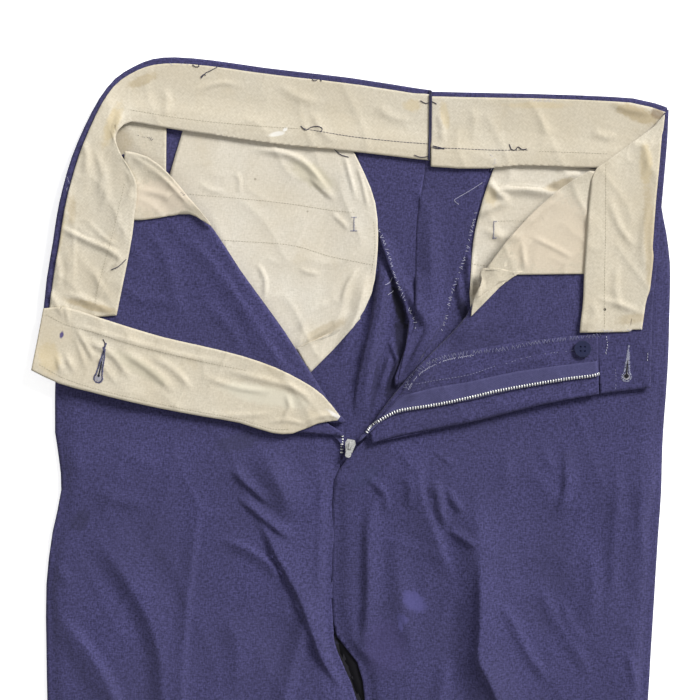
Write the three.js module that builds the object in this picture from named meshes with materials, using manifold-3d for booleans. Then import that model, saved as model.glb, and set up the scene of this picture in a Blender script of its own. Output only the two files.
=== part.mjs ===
// Uniform trousers lying on their back with the fly open and both fronts turned outwards.
// Millimetres, +Z up. In the tables, x runs across from the middle of the lay and down runs from
// the waist to the hems. Right and left are the wearer's, so the right side has negative x.
import * as THREE from "three";
import { mergeVertices } from "three/addons/utils/BufferGeometryUtils.js";
import Module from "manifold-3d";

// Thickness of each kind of cloth, with its nap and seams
const CLOTH = 1.2;
const LINING = 1.0;
const TAPE = 0.9;

// Heights of the middle of each layer above the table
const BACK_LEVEL = CLOTH / 2;
const BACK_LINING_LEVEL = 2.1;
const BAG_OVER_OUTLET_LEVEL = 3.6;
const RIM_LEVEL = 2.1;
const HIP_LEVEL = 5.0;
const LEG_LEVEL = 3.3;
const FOLD_RADIUS = 1.7;
const FLAP_LEVEL = HIP_LEVEL + 2 * FOLD_RADIUS;
const FLAP_LINING_LEVEL = FLAP_LEVEL + 1.5;
const ZIP_LEVEL = FLAP_LINING_LEVEL + 1.3;
const UNDER_FLAP_LEVEL = HIP_LEVEL + FOLD_RADIUS;

// How the hip's thick stack thins out into the legs, and how the cloth comes down at its rims
const HIP_ENDS = 312;
const LEGS_START = 366;
const RIM_WIDTH = 16;
const INSEAM_RIM_GROWS = 45;

// The waistband: its share of the curtain's full depth, and the navy edge above the curtain
const WAISTBAND_SHARE = 0.77;
const NAVY_EDGE_SHARE = 0.065;
const CURTAIN_RISE_BACK = 2.8;
const CURTAIN_RISE_FLAP = 1.6;
const CURTAIN_RISES_FROM = 0.5;
const CURTAIN_RISES_TO = 0.88;

// Buttons and zip
const INNER_BUTTON = { x: 185.6, down: 231.2, bottom: 10.8, radius: 7, thick: 2.4 };
const WAIST_BUTTON = { x: -236, down: 222, bottom: 4.9, radius: 7.5, thick: 2.5 };
const BUTTON_HOLE_RADIUS = 0.9;
const BUTTON_HOLE_OFFSET = 1.7;
const BUTTON_BEVEL = 0.4;
const SLIDER = { x: 0, down: 308.5, bottom: 6.1, turn: -0.2, wide: 8.4, narrow: 5.6, long: 10, thick: 3 };
const SLIDER_NOSE = 6;
const BRIDGE = { long: 6.4, high: 2.1, wide: 1.6, bar: 0.7, post: 1.4, lean: 0.8, sunk: 0.5 };
const TAB = { wide: 4.6, long: 9.5, thick: 0.8, window: 2.6, bar: 0.8, corner: 1.2, clear: 0.3 };

// Waistband and curtain, centre back to right fly end. lift is 0 on the back and 1 on the flap.
const WAIST_RIGHT = table(["edgeX", "edgeDown", "freeX", "freeDown", "lift"], [
  [64, 24, 62, 80, 0],
  [0, 14, 2, 73, 0],
  [-68, 6, -60, 67, 0],
  [-110, 0, -102, 61, 0],
  [-140, -2.5, -136, 56, 0],
  [-158, -1, -160, 52, 0],
  [-173, 5, -178, 50, 0.15],
  [-188, 15, -187, 60, 0.5],
  [-200, 31, -186, 70, 0.85],
  [-212, 54, -178, 84, 1],
  [-222, 78, -171, 97, 1],
  [-229, 102, -170, 108, 1],
  [-234, 125, -172, 124, 1],
  [-237, 145, -174, 141, 1],
  [-242, 175, -179, 168, 1],
  [-245, 203, -185, 197, 1],
  [-249, 228, -190, 226, 1],
  [-253, 247, -192, 262, 1],
]);
const CURTAIN_RIGHT_ENDS = 15.25 / 17;

// Waistband and curtain, centre back to the sharp fold at the left side
const WAIST_BACK_LEFT = table(["edgeX", "edgeDown", "freeX", "freeDown", "lift"], [
  [66, 25, 66, 85, 0],
  [107, 26, 100, 87, 0],
  [152, 27, 140, 84, 0],
  [206, 29, 170, 85, 0],
  [229, 31, 184, 85, 0],
  [251, 39, 194.5, 84.5, 0],
]);

// Waistband and curtain on the left flap, from the sharp fold to the fly
const WAIST_FRONT_LEFT = table(["edgeX", "edgeDown", "freeX", "freeDown", "lift"], [
  [255, 45, 197, 87, 1],
  [253.5, 62, 193.5, 94, 1],
  [252, 80, 192, 104, 1],
  [249, 113, 190, 125, 1],
  [247, 140, 188.5, 146, 1],
  [245, 166, 187, 170, 1],
  [242, 192, 186, 195, 1],
  [241, 217, 183.5, 218, 1],
  [240.5, 240, 185.5, 242, 1],
  [240, 262, 188, 268, 1],
]);
const CURTAIN_FRONT_LEFT_ENDS = 7 / 9;
const SHARP_FOLD_DROP = 5.0;
const SHARP_FOLD_ROLL = 0.14;

// Fronts down to the end of the fly: side seam, fold, and the turned-over panel's own edge
const FRONT_RIGHT = table(["sideX", "sideDown", "foldX", "foldDown", "edgeX", "edgeDown"], [
  [-212, 84, -178, 73, -181.7, 86],
  [-221, 108, -150, 90, -181.9, 106],
  [-227, 134, -130, 112, -185.7, 128],
  [-231, 160, -109, 136, -189.2, 152],
  [-233, 186, -88, 168, -194.9, 184],
  [-234, 208, -67, 197, -200.4, 214],
  [-235, 230, -52, 218, -153, 232],
  [-235.5, 250, -40, 237, -110, 242],
  [-236, 268, -29, 254, -72, 254],
  [-236, 284, -17, 273, -42, 268],
  [-236, 298, -4, 288.5, -16, 290],
]);
const FRONT_LEFT = table(["sideX", "sideDown", "foldX", "foldDown", "edgeX", "edgeDown"], [
  [250, 93, 192, 89, 204.5, 97],
  [249, 116, 170, 106, 203, 115],
  [253, 138, 146, 127, 201.3, 138],
  [256, 162, 124, 151, 199.8, 160],
  [256, 186, 106, 178, 198.2, 186],
  [255.5, 206, 93, 205, 195.9, 213],
  [255, 228, 74, 226, 198.6, 266],
  [254, 250, 56, 244, 152, 276],
  [252.5, 272, 39, 263, 110, 286.5],
  [251, 292, 25, 281, 66, 296],
  [250, 308, 12, 301, 24, 305],
]);

// Fronts from the end of the fly to the hem: side seam, then centre front and inseam
const LEG_FRONT_RIGHT = table(["aX", "aDown", "bX", "bDown"], [
  [-233, 318, -5.5, 312],
  [-231, 344, -12.8, 336],
  [-238, 378, -14.2, 372],
  [-243, 420, -15.2, 420],
  [-243, 470, -14.5, 460],
  [-242.6, 495, -5, 486],
  [-242, 520, 5.5, 514],
  [-239, 620, 3, 620],
  [-235, 740, -2, 740],
  [-230, 880, -8, 880],
  [-224, 1036, -14, 1036],
]);
const LEG_FRONT_LEFT = table(["aX", "aDown", "bX", "bDown"], [
  [249.5, 326, -1.5, 318],
  [249, 346, -11.8, 338],
  [246.5, 382, -13.2, 378],
  [243.5, 430, -14, 426],
  [241, 470, -9.5, 462],
  [239.5, 496, 6, 482],
  [238, 520, 12.5, 516],
  [232, 640, 11, 640],
  [224, 780, 6, 780],
  [215, 920, 1, 920],
  [206, 1036, -4, 1036],
]);

// Backs from the waistband seam to the hem: side seam, then seat seam and inseam
const BACK_RIGHT = table(["aX", "aDown", "bX", "bDown"], [
  [-168, 41.6, 62.3, 68.6],
  [-187, 53, 59, 88],
  [-203, 74, 55, 112],
  [-213, 98, 54, 138],
  [-221, 124, 53.7, 162],
  [-230.5, 186, 53.2, 206],
  [-233, 250, 37, 264],
  [-233, 304, 11, 314],
  [-229.5, 340, -5, 340],
  [-236, 378, -14.2, 378],
  [-241.4, 420, -16.2, 424],
  [-241.4, 470, -15.6, 462],
  [-240.6, 520, 3.8, 514],
  [-237.4, 620, 1.4, 620],
  [-233.4, 740, -3.6, 740],
  [-222.4, 1036, -15.6, 1036],
]);
const BACK_LEFT = table(["aX", "aDown", "bX", "bDown"], [
  [206.5, 75.6, 64, 72.8],
  [240, 84, 60.4, 90],
  [247.3, 98, 56.4, 112],
  [246.6, 118, 55.2, 138],
  [252.6, 150, 54.8, 162],
  [254.2, 190, 54.4, 206],
  [252.6, 262, 38.3, 264],
  [249.6, 304, 12.2, 314],
  [247.2, 346, -3.8, 340],
  [244.8, 382, -12.6, 378],
  [241.8, 430, -14.2, 424],
  [239.2, 470, -8.2, 462],
  [236.4, 520, 13.8, 516],
  [230.4, 640, 12.2, 640],
  [222.4, 780, 7.2, 780],
  [204.4, 1036, -2.8, 1036],
]);

// Wide seam outlets of the centre back: overlocked edge, then the seat seam
const OUTLET_RIGHT = table(["aX", "aDown", "bX", "bDown"], [
  [4, 69, 61.2, 76],
  [11, 105, 55.4, 112],
  [22, 137, 53.2, 140],
  [31, 164, 53, 166],
  [44, 196, 52.9, 197],
  [49.5, 222, 51.6, 224],
]);
const OUTLET_LEFT = table(["aX", "aDown", "bX", "bDown"], [
  [115, 78, 63, 77],
  [107, 101, 57.3, 112],
  [97.5, 139, 54.8, 140],
  [90, 164, 54.4, 166],
  [80, 193, 54.1, 197],
  [71, 222, 53.2, 224],
]);

// Pocket bags: one side, then the other, from their top rows down
const HIP_BAG_RIGHT = table(["aX", "aDown", "bX", "bDown"], [
  [-132, 51, 0, 68],
  [-140, 77, 12, 92],
  [-146, 100, 20, 114],
  [-148, 130, 22.3, 140],
  [-147, 170, 21, 164],
  [-143, 200, 17, 187],
  [-134, 228, 3, 213],
  [-112, 246, -32, 250],
]);
const HIP_BAG_LEFT = table(["aX", "aDown", "bX", "bDown"], [
  [118, 80, 232, 90],
  [110, 101, 238, 110],
  [103, 125, 241, 140],
  [99, 145, 242, 170],
  [97, 170, 240, 200],
  [97, 202, 232, 226],
  [112, 232, 214, 244],
]);
const SIDE_BAG_RIGHT = table(["aX", "aDown", "bX", "bDown"], [
  [-181, 84, -182, 128],
  [-165, 86, -166, 128],
  [-150, 96, -151, 126],
  [-135, 113, -138, 124.5],
  [-117, 132, -114, 136],
]);
const SIDE_BAG_LEFT = table(["aX", "aDown", "bX", "bDown"], [
  [190.5, 97, 197.5, 98],
  [172, 109, 197, 112],
  [150, 128, 196, 130],
  [129, 151, 195, 152],
  [113.5, 172, 194.5, 171],
]);

// Fly shield, its lining, the fly facing and the zip tapes: upper edge, then lower edge
const FLY_SHIELD = table(["aX", "aDown", "bX", "bDown"], [
  [-200.6, 217, -203, 263],
  [-153, 233.4, -152, 276],
  [-110, 243.4, -112, 284],
  [-72, 255.4, -74, 291],
  [-42.6, 269.6, -50, 297],
  [-16.8, 291.6, -20, 299],
  [-7, 297.4, -6, 300.8],
]);
const SHIELD_LINING = table(["aX", "aDown", "bX", "bDown"], [
  [-244.5, 199, -254, 248],
  [-227, 198, -232, 258.5],
  [-204, 205, -206, 265.5],
  [-176, 214, -178, 272.5],
  [-149, 222, -151, 278.5],
  [-118, 229, -119, 284.5],
  [-86, 237, -88, 290],
  [-60, 246, -62, 298],
  [-38, 257, -46, 298.5],
  [-22, 268, -26, 290.5],
  [-8, 285, -10, 288],
]);
const SHIELD_LINING_OVER_CURTAIN = 1.8;
const FLY_FACING = table(["aX", "aDown", "bX", "bDown"], [
  [16, 299, 18, 306],
  [29.5, 279.5, 30, 302.5],
  [42, 265.5, 44, 299],
  [53, 249, 58, 296.5],
  [68, 239, 76, 293],
  [97, 232, 100, 288.5],
  [149, 224, 152, 275.5],
  [198, 219, 198.4, 267],
]);
const ZIP_TAPE_LEFT = table(["aX", "aDown", "bX", "bDown"], [
  [8.5, 301, 6.5, 306],
  [18, 293.5, 13.5, 299.5],
  [31, 279.5, 27.5, 287.5],
  [44, 268, 42, 281.5],
  [93, 258, 96, 272],
  [135, 249, 136, 262.5],
  [197, 241, 198, 252.5],
]);
const ZIP_TAPE_LEFT_END_DROP = 1.1;
const ZIP_TAPE_RIGHT = table(["aX", "aDown", "bX", "bDown"], [
  [-8, 300.5, -4.7, 311.5],
  [-16, 296, -9.5, 304],
  [-42, 262, -46, 275],
  [-110, 238, -113, 251],
  [-188, 214, -192, 227],
]);

// The largest folds of the legs: a soft ridge from one point to another
const LEG_FOLDS = table(["x0", "down0", "x1", "down1", "height", "width"], [
  [-121, 350, -131, 470, 1.1, 16],
  [-131, 470, -119, 1036, 0.8, 18],
  [98, 345, 106, 470, 1.4, 16],
  [106, 470, 101, 1036, 0.8, 18],
  [-90, 350, -30, 450, 0.8, 16],
  [-222, 420, -165, 530, 1.0, 18],
  [205, 350, 196, 460, 0.8, 15],
  [30, 400, 70, 540, 0.8, 18],
  [-200, 660, -90, 705, 0.7, 20],
  [40, 720, 170, 680, 0.7, 20],
  [-190, 860, -70, 900, 0.6, 20],
  [50, 910, 170, 870, 0.6, 20],
]);

// Rows of a table as objects that hold its named columns
function table(columns, rows) {
  return rows.map((row) => Object.fromEntries(columns.map((name, i) => [name, row[i]])));
}

function smooth(from, to, value) {
  return THREE.MathUtils.smoothstep(value, from, to);
}

const { lerp } = THREE.MathUtils;

// A curve through one pair of columns, evaluated from 0 at the first row to 1 at the last
function rail(rows, xName, downName, straight = false) {
  const points = rows.map((row) => new THREE.Vector3(row[xName], -row[downName], 0));
  if (!straight) {
    const curve = new THREE.CatmullRomCurve3(points, false, "centripetal");
    return (t) => curve.getPoint(t);
  }
  return (t) => {
    const place = Math.min(t, 1 - 1e-9) * (points.length - 1);
    const i = Math.floor(place);
    return points[i].clone().lerp(points[i + 1], place - i);
  };
}

// One column's value between its rows
function column(rows, name) {
  return (t) => {
    const place = Math.min(t, 1 - 1e-9) * (rows.length - 1);
    const i = Math.floor(place);
    return lerp(rows[i][name], rows[i + 1][name], place - i);
  };
}

function steps(count, from = 0, to = 1) {
  return Array.from({ length: count + 1 }, (_, i) => lerp(from, to, i / count));
}

// Makes one closed shell from grids of middle points, which share the points that coincide.
function shell(grids, thickness, upright = true) {
  const points = [];
  const faces = [];
  const seen = new Map();
  const place = (p) => {
    const key = [p.x, p.y, p.z].map((v) => v.toFixed(3)).join();
    if (!seen.has(key)) seen.set(key, points.push(p) - 1);
    return seen.get(key);
  };
  for (const grid of grids) {
    const ids = grid.map((row) => row.map(place));
    for (let i = 0; i + 1 < ids.length; i++) {
      for (let j = 0; j + 1 < ids[i].length; j++) {
        const [a, b, c, d] = [ids[i][j], ids[i][j + 1], ids[i + 1][j + 1], ids[i + 1][j]];
        faces.push([a, b, c], [a, c, d]);
      }
    }
  }
  const normals = points.map(() => new THREE.Vector3(0, 0, upright ? 1 : 0));
  if (!upright) {
    for (const [a, b, c] of faces) {
      const u = points[b].clone().sub(points[a]);
      const v = points[c].clone().sub(points[a]);
      const n = u.cross(v);
      for (const i of [a, b, c]) normals[i].add(n);
    }
    normals.forEach((n) => n.normalize());
  }
  const count = points.length;
  const position = new Float32Array(count * 6);
  points.forEach((p, i) => {
    p.clone().addScaledVector(normals[i], thickness / 2).toArray(position, i * 3);
    p.clone().addScaledVector(normals[i], -thickness / 2).toArray(position, (count + i) * 3);
  });
  const index = [];
  const edges = new Set(faces.flatMap(([a, b, c]) => [a + "_" + b, b + "_" + c, c + "_" + a]));
  for (const [a, b, c] of faces) {
    index.push(a, b, c, c + count, b + count, a + count);
    for (const [p, q] of [[a, b], [b, c], [c, a]]) {
      if (!edges.has(q + "_" + p)) index.push(q, p, p + count, q, p + count, q + count);
    }
  }
  return facingOut(position, index);
}

// Geometry of a closed surface, turned so that its faces point out
function facingOut(position, index) {
  const corner = (i) => new THREE.Vector3().fromArray(position, index[i] * 3);
  let volume = 0;
  for (let i = 0; i < index.length; i += 3) {
    volume += corner(i).dot(corner(i + 1).cross(corner(i + 2)));
  }
  const geometry = new THREE.BufferGeometry();
  geometry.setAttribute("position", new THREE.BufferAttribute(position, 3));
  geometry.setIndex(volume < 0 ? index.slice().reverse() : index);
  return geometry;
}

// A grid between two rails. level gives the height from the point, and the shares along and across.
function between(a, b, alongSteps, acrossSteps, level) {
  return alongSteps.map((along) => {
    const [start, end] = [a(along), b(along)];
    return acrossSteps.map((across) => {
      const p = start.clone().lerp(end, across);
      p.z = level(p, along, across);
      return p;
    });
  });
}

// A flat piece from a table of sections
function strip(rows, thickness, level, alongCount, acrossCount, straight = false) {
  const a = rail(rows, "aX", "aDown", straight);
  const b = rail(rows, "bX", "bDown", straight);
  const height = typeof level === "number" ? () => level : level;
  return shell([between(a, b, steps(alongCount), steps(acrossCount), height)], thickness);
}

// Height of the waistband's middle: on the table at the back, on the turned-over front at lift 1
function waistLevel(rows, rolls) {
  const lift = column(rows, "lift");
  return (along, across) => {
    const raised = lerp(BACK_LEVEL, FLAP_LEVEL, lift(along));
    const rolled = rolls ? 1 - smooth(0, SHARP_FOLD_ROLL, along) : 0;
    return raised - SHARP_FOLD_DROP * rolled * (1 - smooth(0.1, 0.75, across));
  };
}

function waistband(rows, alongCount, rolls = false) {
  const a = rail(rows, "edgeX", "edgeDown");
  const b = rail(rows, "freeX", "freeDown");
  const level = waistLevel(rows, rolls);
  const across = steps(3, 0, WAISTBAND_SHARE);
  return shell([between(a, b, steps(alongCount), across, (p, s, t) => level(s, t))], CLOTH);
}

function curtain(rows, alongCount, ends = 1, rolls = false) {
  const a = rail(rows, "edgeX", "edgeDown");
  const b = rail(rows, "freeX", "freeDown");
  const lift = column(rows, "lift");
  const base = waistLevel(rows, rolls);
  const level = (p, along, across) => {
    const rise = lerp(CURTAIN_RISE_BACK, CURTAIN_RISE_FLAP, lift(along));
    const pressed = ends < 1 && !rolls ? 1 - smooth(ends - 0.08, ends, along) : 1;
    const free = smooth(CURTAIN_RISES_FROM, CURTAIN_RISES_TO, across) * rise * pressed;
    return base(along, across) + BACK_LINING_LEVEL - BACK_LEVEL + free;
  };
  const across = [NAVY_EDGE_SHARE, 0.3, CURTAIN_RISES_FROM, 0.62, 0.75, CURTAIN_RISES_TO, 1];
  return shell([between(a, b, steps(alongCount, 0, ends), across, level)], LINING);
}

// Shares across a front: close together at both rims, even between them
function frontColumns(width) {
  const rim = Math.min(RIM_WIDTH, width / 3) / width;
  const near = [0, rim / 3, (2 * rim) / 3];
  return [...near, ...steps(7, rim, 1 - rim), ...near.map((s) => 1 - s).reverse()];
}

function foldsAt(p) {
  let sum = 0;
  for (const f of LEG_FOLDS) {
    const start = new THREE.Vector3(f.x0, -f.down0, 0);
    const line = new THREE.Line3(start, new THREE.Vector3(f.x1, -f.down1, 0));
    const flat = new THREE.Vector3(p.x, p.y, 0);
    const foot = line.closestPointToPoint(flat, true, new THREE.Vector3());
    const away = foot.distanceTo(flat) / f.width;
    sum = Math.max(sum, f.height * Math.exp(-away * away));
  }
  return sum;
}

// Height of a front's lower layer, from the distances to its side seam and its inner edge
function lowerLevel(p, fromSide, fromInner, innerRim) {
  const thin = smooth(HIP_ENDS, LEGS_START, -p.y);
  const inside = lerp(HIP_LEVEL, LEG_LEVEL, thin) - RIM_LEVEL + thin * foldsAt(p);
  const sideShare = smooth(0, RIM_WIDTH, fromSide);
  const innerShare = lerp(1, smooth(0, RIM_WIDTH, fromInner), innerRim);
  return RIM_LEVEL + inside * sideShare * innerShare;
}

function lowerRow(side, inner, innerRim) {
  const width = side.distanceTo(inner);
  return frontColumns(width).map((share) => {
    const p = side.clone().lerp(inner, share);
    p.z = lowerLevel(p, share * width, (1 - share) * width, innerRim);
    return p;
  });
}

// A front: its lower layer, the bend at the fold and the turned-over flap, then the leg
function front(rows, legRows) {
  const side = rail(rows, "sideX", "sideDown");
  const fold = rail(rows, "foldX", "foldDown");
  const edge = rail(rows, "edgeX", "edgeDown", true);
  const foldedRows = steps((rows.length - 1) * 2).map((t) => {
    const along = fold(Math.min(t + 0.01, 1)).sub(fold(Math.max(t - 0.01, 0))).normalize();
    const out = new THREE.Vector3(-along.y, along.x, 0);
    if (out.dot(fold(t).sub(side(t))) < 0) out.negate();
    const centre = fold(t).addScaledVector(out, -(FOLD_RADIUS + CLOTH / 2));
    const lower = lowerRow(side(t), centre, 0);
    const bend = steps(4, 0, Math.PI).slice(1).map((turn) => {
      const p = centre.clone().addScaledVector(out, FOLD_RADIUS * Math.sin(turn));
      p.z = HIP_LEVEL + FOLD_RADIUS * (1 - Math.cos(turn));
      return p;
    });
    const flapStart = bend[bend.length - 1];
    const flapEnd = edge(t).setZ(FLAP_LEVEL);
    const flap = steps(5).slice(1).map((share) => flapStart.clone().lerp(flapEnd, share));
    return [...lower, ...bend, ...flap];
  });
  const last = foldedRows[foldedRows.length - 1];
  const lowerLast = last.slice(0, frontColumns(1).length);
  const start = {
    aX: lowerLast[0].x,
    aDown: -lowerLast[0].y,
    bX: lowerLast[lowerLast.length - 1].x,
    bDown: -lowerLast[lowerLast.length - 1].y,
  };
  const legTable = [start, ...legRows];
  const a = rail(legTable, "aX", "aDown");
  const b = rail(legTable, "bX", "bDown");
  const legSteps = steps((legTable.length - 1) * 2).slice(1);
  const legGrid = legSteps.map((t) => {
    const grown = smooth(0, INSEAM_RIM_GROWS, -b(t).y - start.bDown);
    return lowerRow(a(t), b(t), grown);
  });
  return shell([foldedRows, [lowerLast, ...legGrid]], CLOTH, false);
}

// A back panel, whose top row follows the waistband's seam
function back(rows, waistRows, seamSteps, acrossCount) {
  const a = rail(rows, "aX", "aDown");
  const b = rail(rows, "bX", "bDown");
  const edge = rail(waistRows, "edgeX", "edgeDown");
  const free = rail(waistRows, "freeX", "freeDown");
  const seamShare = WAISTBAND_SHARE + 0.02;
  const topRow = steps(acrossCount, ...seamSteps).map((t) => edge(t).lerp(free(t), seamShare));
  const grid = between(a, b, steps((rows.length - 1) * 2), steps(acrossCount), () => BACK_LEVEL);
  topRow.forEach((p) => p.setZ(BACK_LEVEL));
  grid[0] = topRow;
  return shell([grid], CLOTH);
}

function button({ x, down, bottom, radius, thick }) {
  const disc = new THREE.Shape().absarc(0, 0, radius - BUTTON_BEVEL, 0, 2 * Math.PI, false);
  for (const [sx, sy] of [[1, 1], [-1, 1], [-1, -1], [1, -1]]) {
    const [hx, hy] = [sx * BUTTON_HOLE_OFFSET, sy * BUTTON_HOLE_OFFSET];
    disc.holes.push(new THREE.Path().absarc(hx, hy, BUTTON_HOLE_RADIUS, 0, 2 * Math.PI, true));
  }
  const geometry = new THREE.ExtrudeGeometry(disc, {
    depth: thick - 2 * BUTTON_BEVEL,
    bevelEnabled: true,
    bevelThickness: BUTTON_BEVEL,
    bevelSize: BUTTON_BEVEL,
    bevelSegments: 1,
    curveSegments: 5,
  });
  return geometry.translate(x, -down, bottom + BUTTON_BEVEL);
}

const wasm = await Module();
wasm.setup();

function solid(geometry) {
  const plain = geometry.index ? geometry.toNonIndexed() : geometry.clone();
  plain.deleteAttribute("normal");
  plain.deleteAttribute("uv");
  const merged = mergeVertices(plain, 1e-4);
  const vertProperties = merged.attributes.position.array;
  const triVerts = new Uint32Array(merged.index.array);
  return new wasm.Manifold(new wasm.Mesh({ numProp: 3, vertProperties, triVerts }));
}

function geometryOf(manifold) {
  const mesh = manifold.getMesh();
  const geometry = new THREE.BufferGeometry();
  geometry.setAttribute("position", new THREE.BufferAttribute(mesh.vertProperties, 3));
  return geometry.setIndex(new THREE.BufferAttribute(mesh.triVerts, 1));
}

function polygon(points) {
  return points.map(([x, y]) => new THREE.Vector2(x, y));
}

// The slider's body tapers towards the closed end of the zip; an arch on it carries the tab.
function sliderGeometry() {
  const { wide, narrow, long, thick } = SLIDER;
  const outline = new THREE.Shape(polygon([
    [-narrow / 2, -long / 2],
    [narrow / 2, -long / 2],
    [wide / 2, long / 5],
    [SLIDER_NOSE / 2, long / 2],
    [-SLIDER_NOSE / 2, long / 2],
    [-wide / 2, long / 5],
  ]));
  const body = new THREE.ExtrudeGeometry(outline, { depth: thick, bevelEnabled: false });
  const half = BRIDGE.long / 2;
  const arch = new THREE.Shape(polygon([
    [-half, -BRIDGE.sunk],
    [half, -BRIDGE.sunk],
    [half - BRIDGE.lean, BRIDGE.high],
    [-half + BRIDGE.lean, BRIDGE.high],
  ]));
  const eye = half - BRIDGE.post;
  const eyeTop = BRIDGE.high - BRIDGE.bar;
  arch.holes.push(new THREE.Path(polygon([[-eye, 0], [-eye, eyeTop], [eye, eyeTop], [eye, 0]])));
  const bridge = new THREE.ExtrudeGeometry(arch, { depth: BRIDGE.wide, bevelEnabled: false });
  bridge.translate(0, 0, -BRIDGE.wide / 2).rotateX(Math.PI / 2).rotateZ(Math.PI / 2);
  bridge.translate(0, 0, thick);
  return geometryOf(solid(body).add(solid(bridge)));
}

// The pull tab: a plate whose window holds the bridge, hinged on the bar at the window's end
function tabGeometry() {
  const { wide, long, window, bar, corner } = TAB;
  const half = wide / 2;
  const plate = new THREE.Shape(polygon([
    [-half, bar / 2],
    [-half, corner - long],
    [corner - half, -long],
    [half - corner, -long],
    [half, corner - long],
    [half, bar / 2],
  ]));
  plate.holes.push(new THREE.Path(polygon([
    [-window / 2, -bar / 2],
    [window / 2, -bar / 2],
    [window / 2, -bar / 2 - BRIDGE.long / 2],
    [-window / 2, -bar / 2 - BRIDGE.long / 2],
  ])));
  return new THREE.ExtrudeGeometry(plate, { depth: TAB.thick, bevelEnabled: false });
}

const COLOURS = { navy: 0x484568, cream: 0xdcd3bb, tape: 0x3d3b5c, metal: 0xb4b4b8, button: 0x39364f };

function add(group, name, geometry, color, roughness = 0.9, metalness = 0) {
  const mesh = new THREE.Mesh(geometry, new THREE.MeshStandardMaterial({ color, roughness, metalness }));
  mesh.name = name;
  group.add(mesh);
  return mesh;
}

const trousers = new THREE.Group();
const cloth = new THREE.Group();
const linings = new THREE.Group();
const notions = new THREE.Group();
trousers.add(cloth, linings, notions);

// Backs and their seam outlets
add(cloth, "back_right", back(BACK_RIGHT, WAIST_RIGHT, [5.5 / 17, 0], 7), COLOURS.navy);
add(cloth, "back_left", back(BACK_LEFT, WAIST_BACK_LEFT, [1, 0], 7), COLOURS.navy);
add(cloth, "seat_outlet_right", strip(OUTLET_RIGHT, LINING, BACK_LINING_LEVEL, 10, 3), COLOURS.navy);
add(cloth, "seat_outlet_left", strip(OUTLET_LEFT, LINING, BACK_LINING_LEVEL, 10, 3), COLOURS.navy);

// Fronts, with the upper part of each turned over
add(cloth, "front_right", front(FRONT_RIGHT, LEG_FRONT_RIGHT), COLOURS.navy);
add(cloth, "front_left", front(FRONT_LEFT, LEG_FRONT_LEFT), COLOURS.navy);

// Waistband and its cotton curtain
add(cloth, "waistband_right", waistband(WAIST_RIGHT, 34), COLOURS.navy);
add(cloth, "waistband_back_left", waistband(WAIST_BACK_LEFT, 8), COLOURS.navy);
add(cloth, "waistband_front_left", waistband(WAIST_FRONT_LEFT, 20, true), COLOURS.navy);
add(linings, "curtain_right", curtain(WAIST_RIGHT, 34, CURTAIN_RIGHT_ENDS), COLOURS.cream);
add(linings, "curtain_back_left", curtain(WAIST_BACK_LEFT, 8), COLOURS.cream);
add(linings, "curtain_front_left", curtain(WAIST_FRONT_LEFT, 18, CURTAIN_FRONT_LEFT_ENDS, true), COLOURS.cream);

// Pocket bags
const outletEdge = Math.min(...OUTLET_RIGHT.map((row) => row.aX));
const bagRise = (p) => smooth(outletEdge - 26, outletEdge - 8, p.x);
const hipBagLevel = (p) => lerp(BACK_LINING_LEVEL, BAG_OVER_OUTLET_LEVEL, bagRise(p));
add(linings, "hip_pocket_bag_right", strip(HIP_BAG_RIGHT, TAPE, hipBagLevel, 14, 8), COLOURS.cream);
add(linings, "hip_pocket_bag_left", strip(HIP_BAG_LEFT, TAPE, BACK_LINING_LEVEL, 12, 5), COLOURS.cream);
add(linings, "side_pocket_bag_right", strip(SIDE_BAG_RIGHT, TAPE, FLAP_LINING_LEVEL, 8, 3), COLOURS.cream);
add(linings, "side_pocket_bag_left", strip(SIDE_BAG_LEFT, TAPE, FLAP_LINING_LEVEL, 8, 6), COLOURS.cream);

// Fly
const liningLevel = (p) => FLAP_LINING_LEVEL + SHIELD_LINING_OVER_CURTAIN * (1 - smooth(-184, -156, p.x));
const tapeLeftLevel = (p, along) => ZIP_LEVEL - ZIP_TAPE_LEFT_END_DROP * (1 - smooth(0, 0.12, along));
add(cloth, "fly_shield", strip(FLY_SHIELD, CLOTH, FLAP_LEVEL, 12, 2, true), COLOURS.navy);
add(linings, "fly_shield_lining", strip(SHIELD_LINING, LINING, liningLevel, 20, 4), COLOURS.cream);
add(cloth, "fly_facing", strip(FLY_FACING, LINING, FLAP_LINING_LEVEL, 14, 3), COLOURS.navy);
add(notions, "zip_tape_left", strip(ZIP_TAPE_LEFT, TAPE, tapeLeftLevel, 12, 1), COLOURS.tape);
add(notions, "zip_tape_right", strip(ZIP_TAPE_RIGHT, TAPE, UNDER_FLAP_LEVEL, 8, 1), COLOURS.tape);

// Slider with its pull tab, and the two buttons
const slider = add(notions, "zip_slider", sliderGeometry(), COLOURS.metal, 0.35, 1);
slider.position.set(SLIDER.x, -SLIDER.down, SLIDER.bottom);
slider.rotation.z = SLIDER.turn;
const tab = add(notions, "zip_pull_tab", tabGeometry(), COLOURS.metal, 0.35, 1);
tab.position.set(SLIDER.x, -SLIDER.down, SLIDER.bottom + SLIDER.thick + TAB.clear);
tab.rotation.z = SLIDER.turn;
add(notions, "inner_button", button(INNER_BUTTON), COLOURS.button, 0.4);
add(notions, "waistband_button", button(WAIST_BUTTON), COLOURS.button, 0.4);

// The origin is at the bottom centre of the whole lay.
const box = new THREE.Box3().setFromObject(trousers);
const centre = box.getCenter(new THREE.Vector3());
trousers.position.set(-centre.x, -centre.y, -box.min.z);

const group = new THREE.Group();
group.add(trousers);
export default group;
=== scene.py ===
# %% [markdown]
# A pair of uniform trousers lies on its back, seen from straight above, with the fly open.
# Both fronts are turned outwards over diagonal folds, so their cream linings show. The packed
# solids are loaded first. They give every piece its place, and the cloth is made from them.

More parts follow.
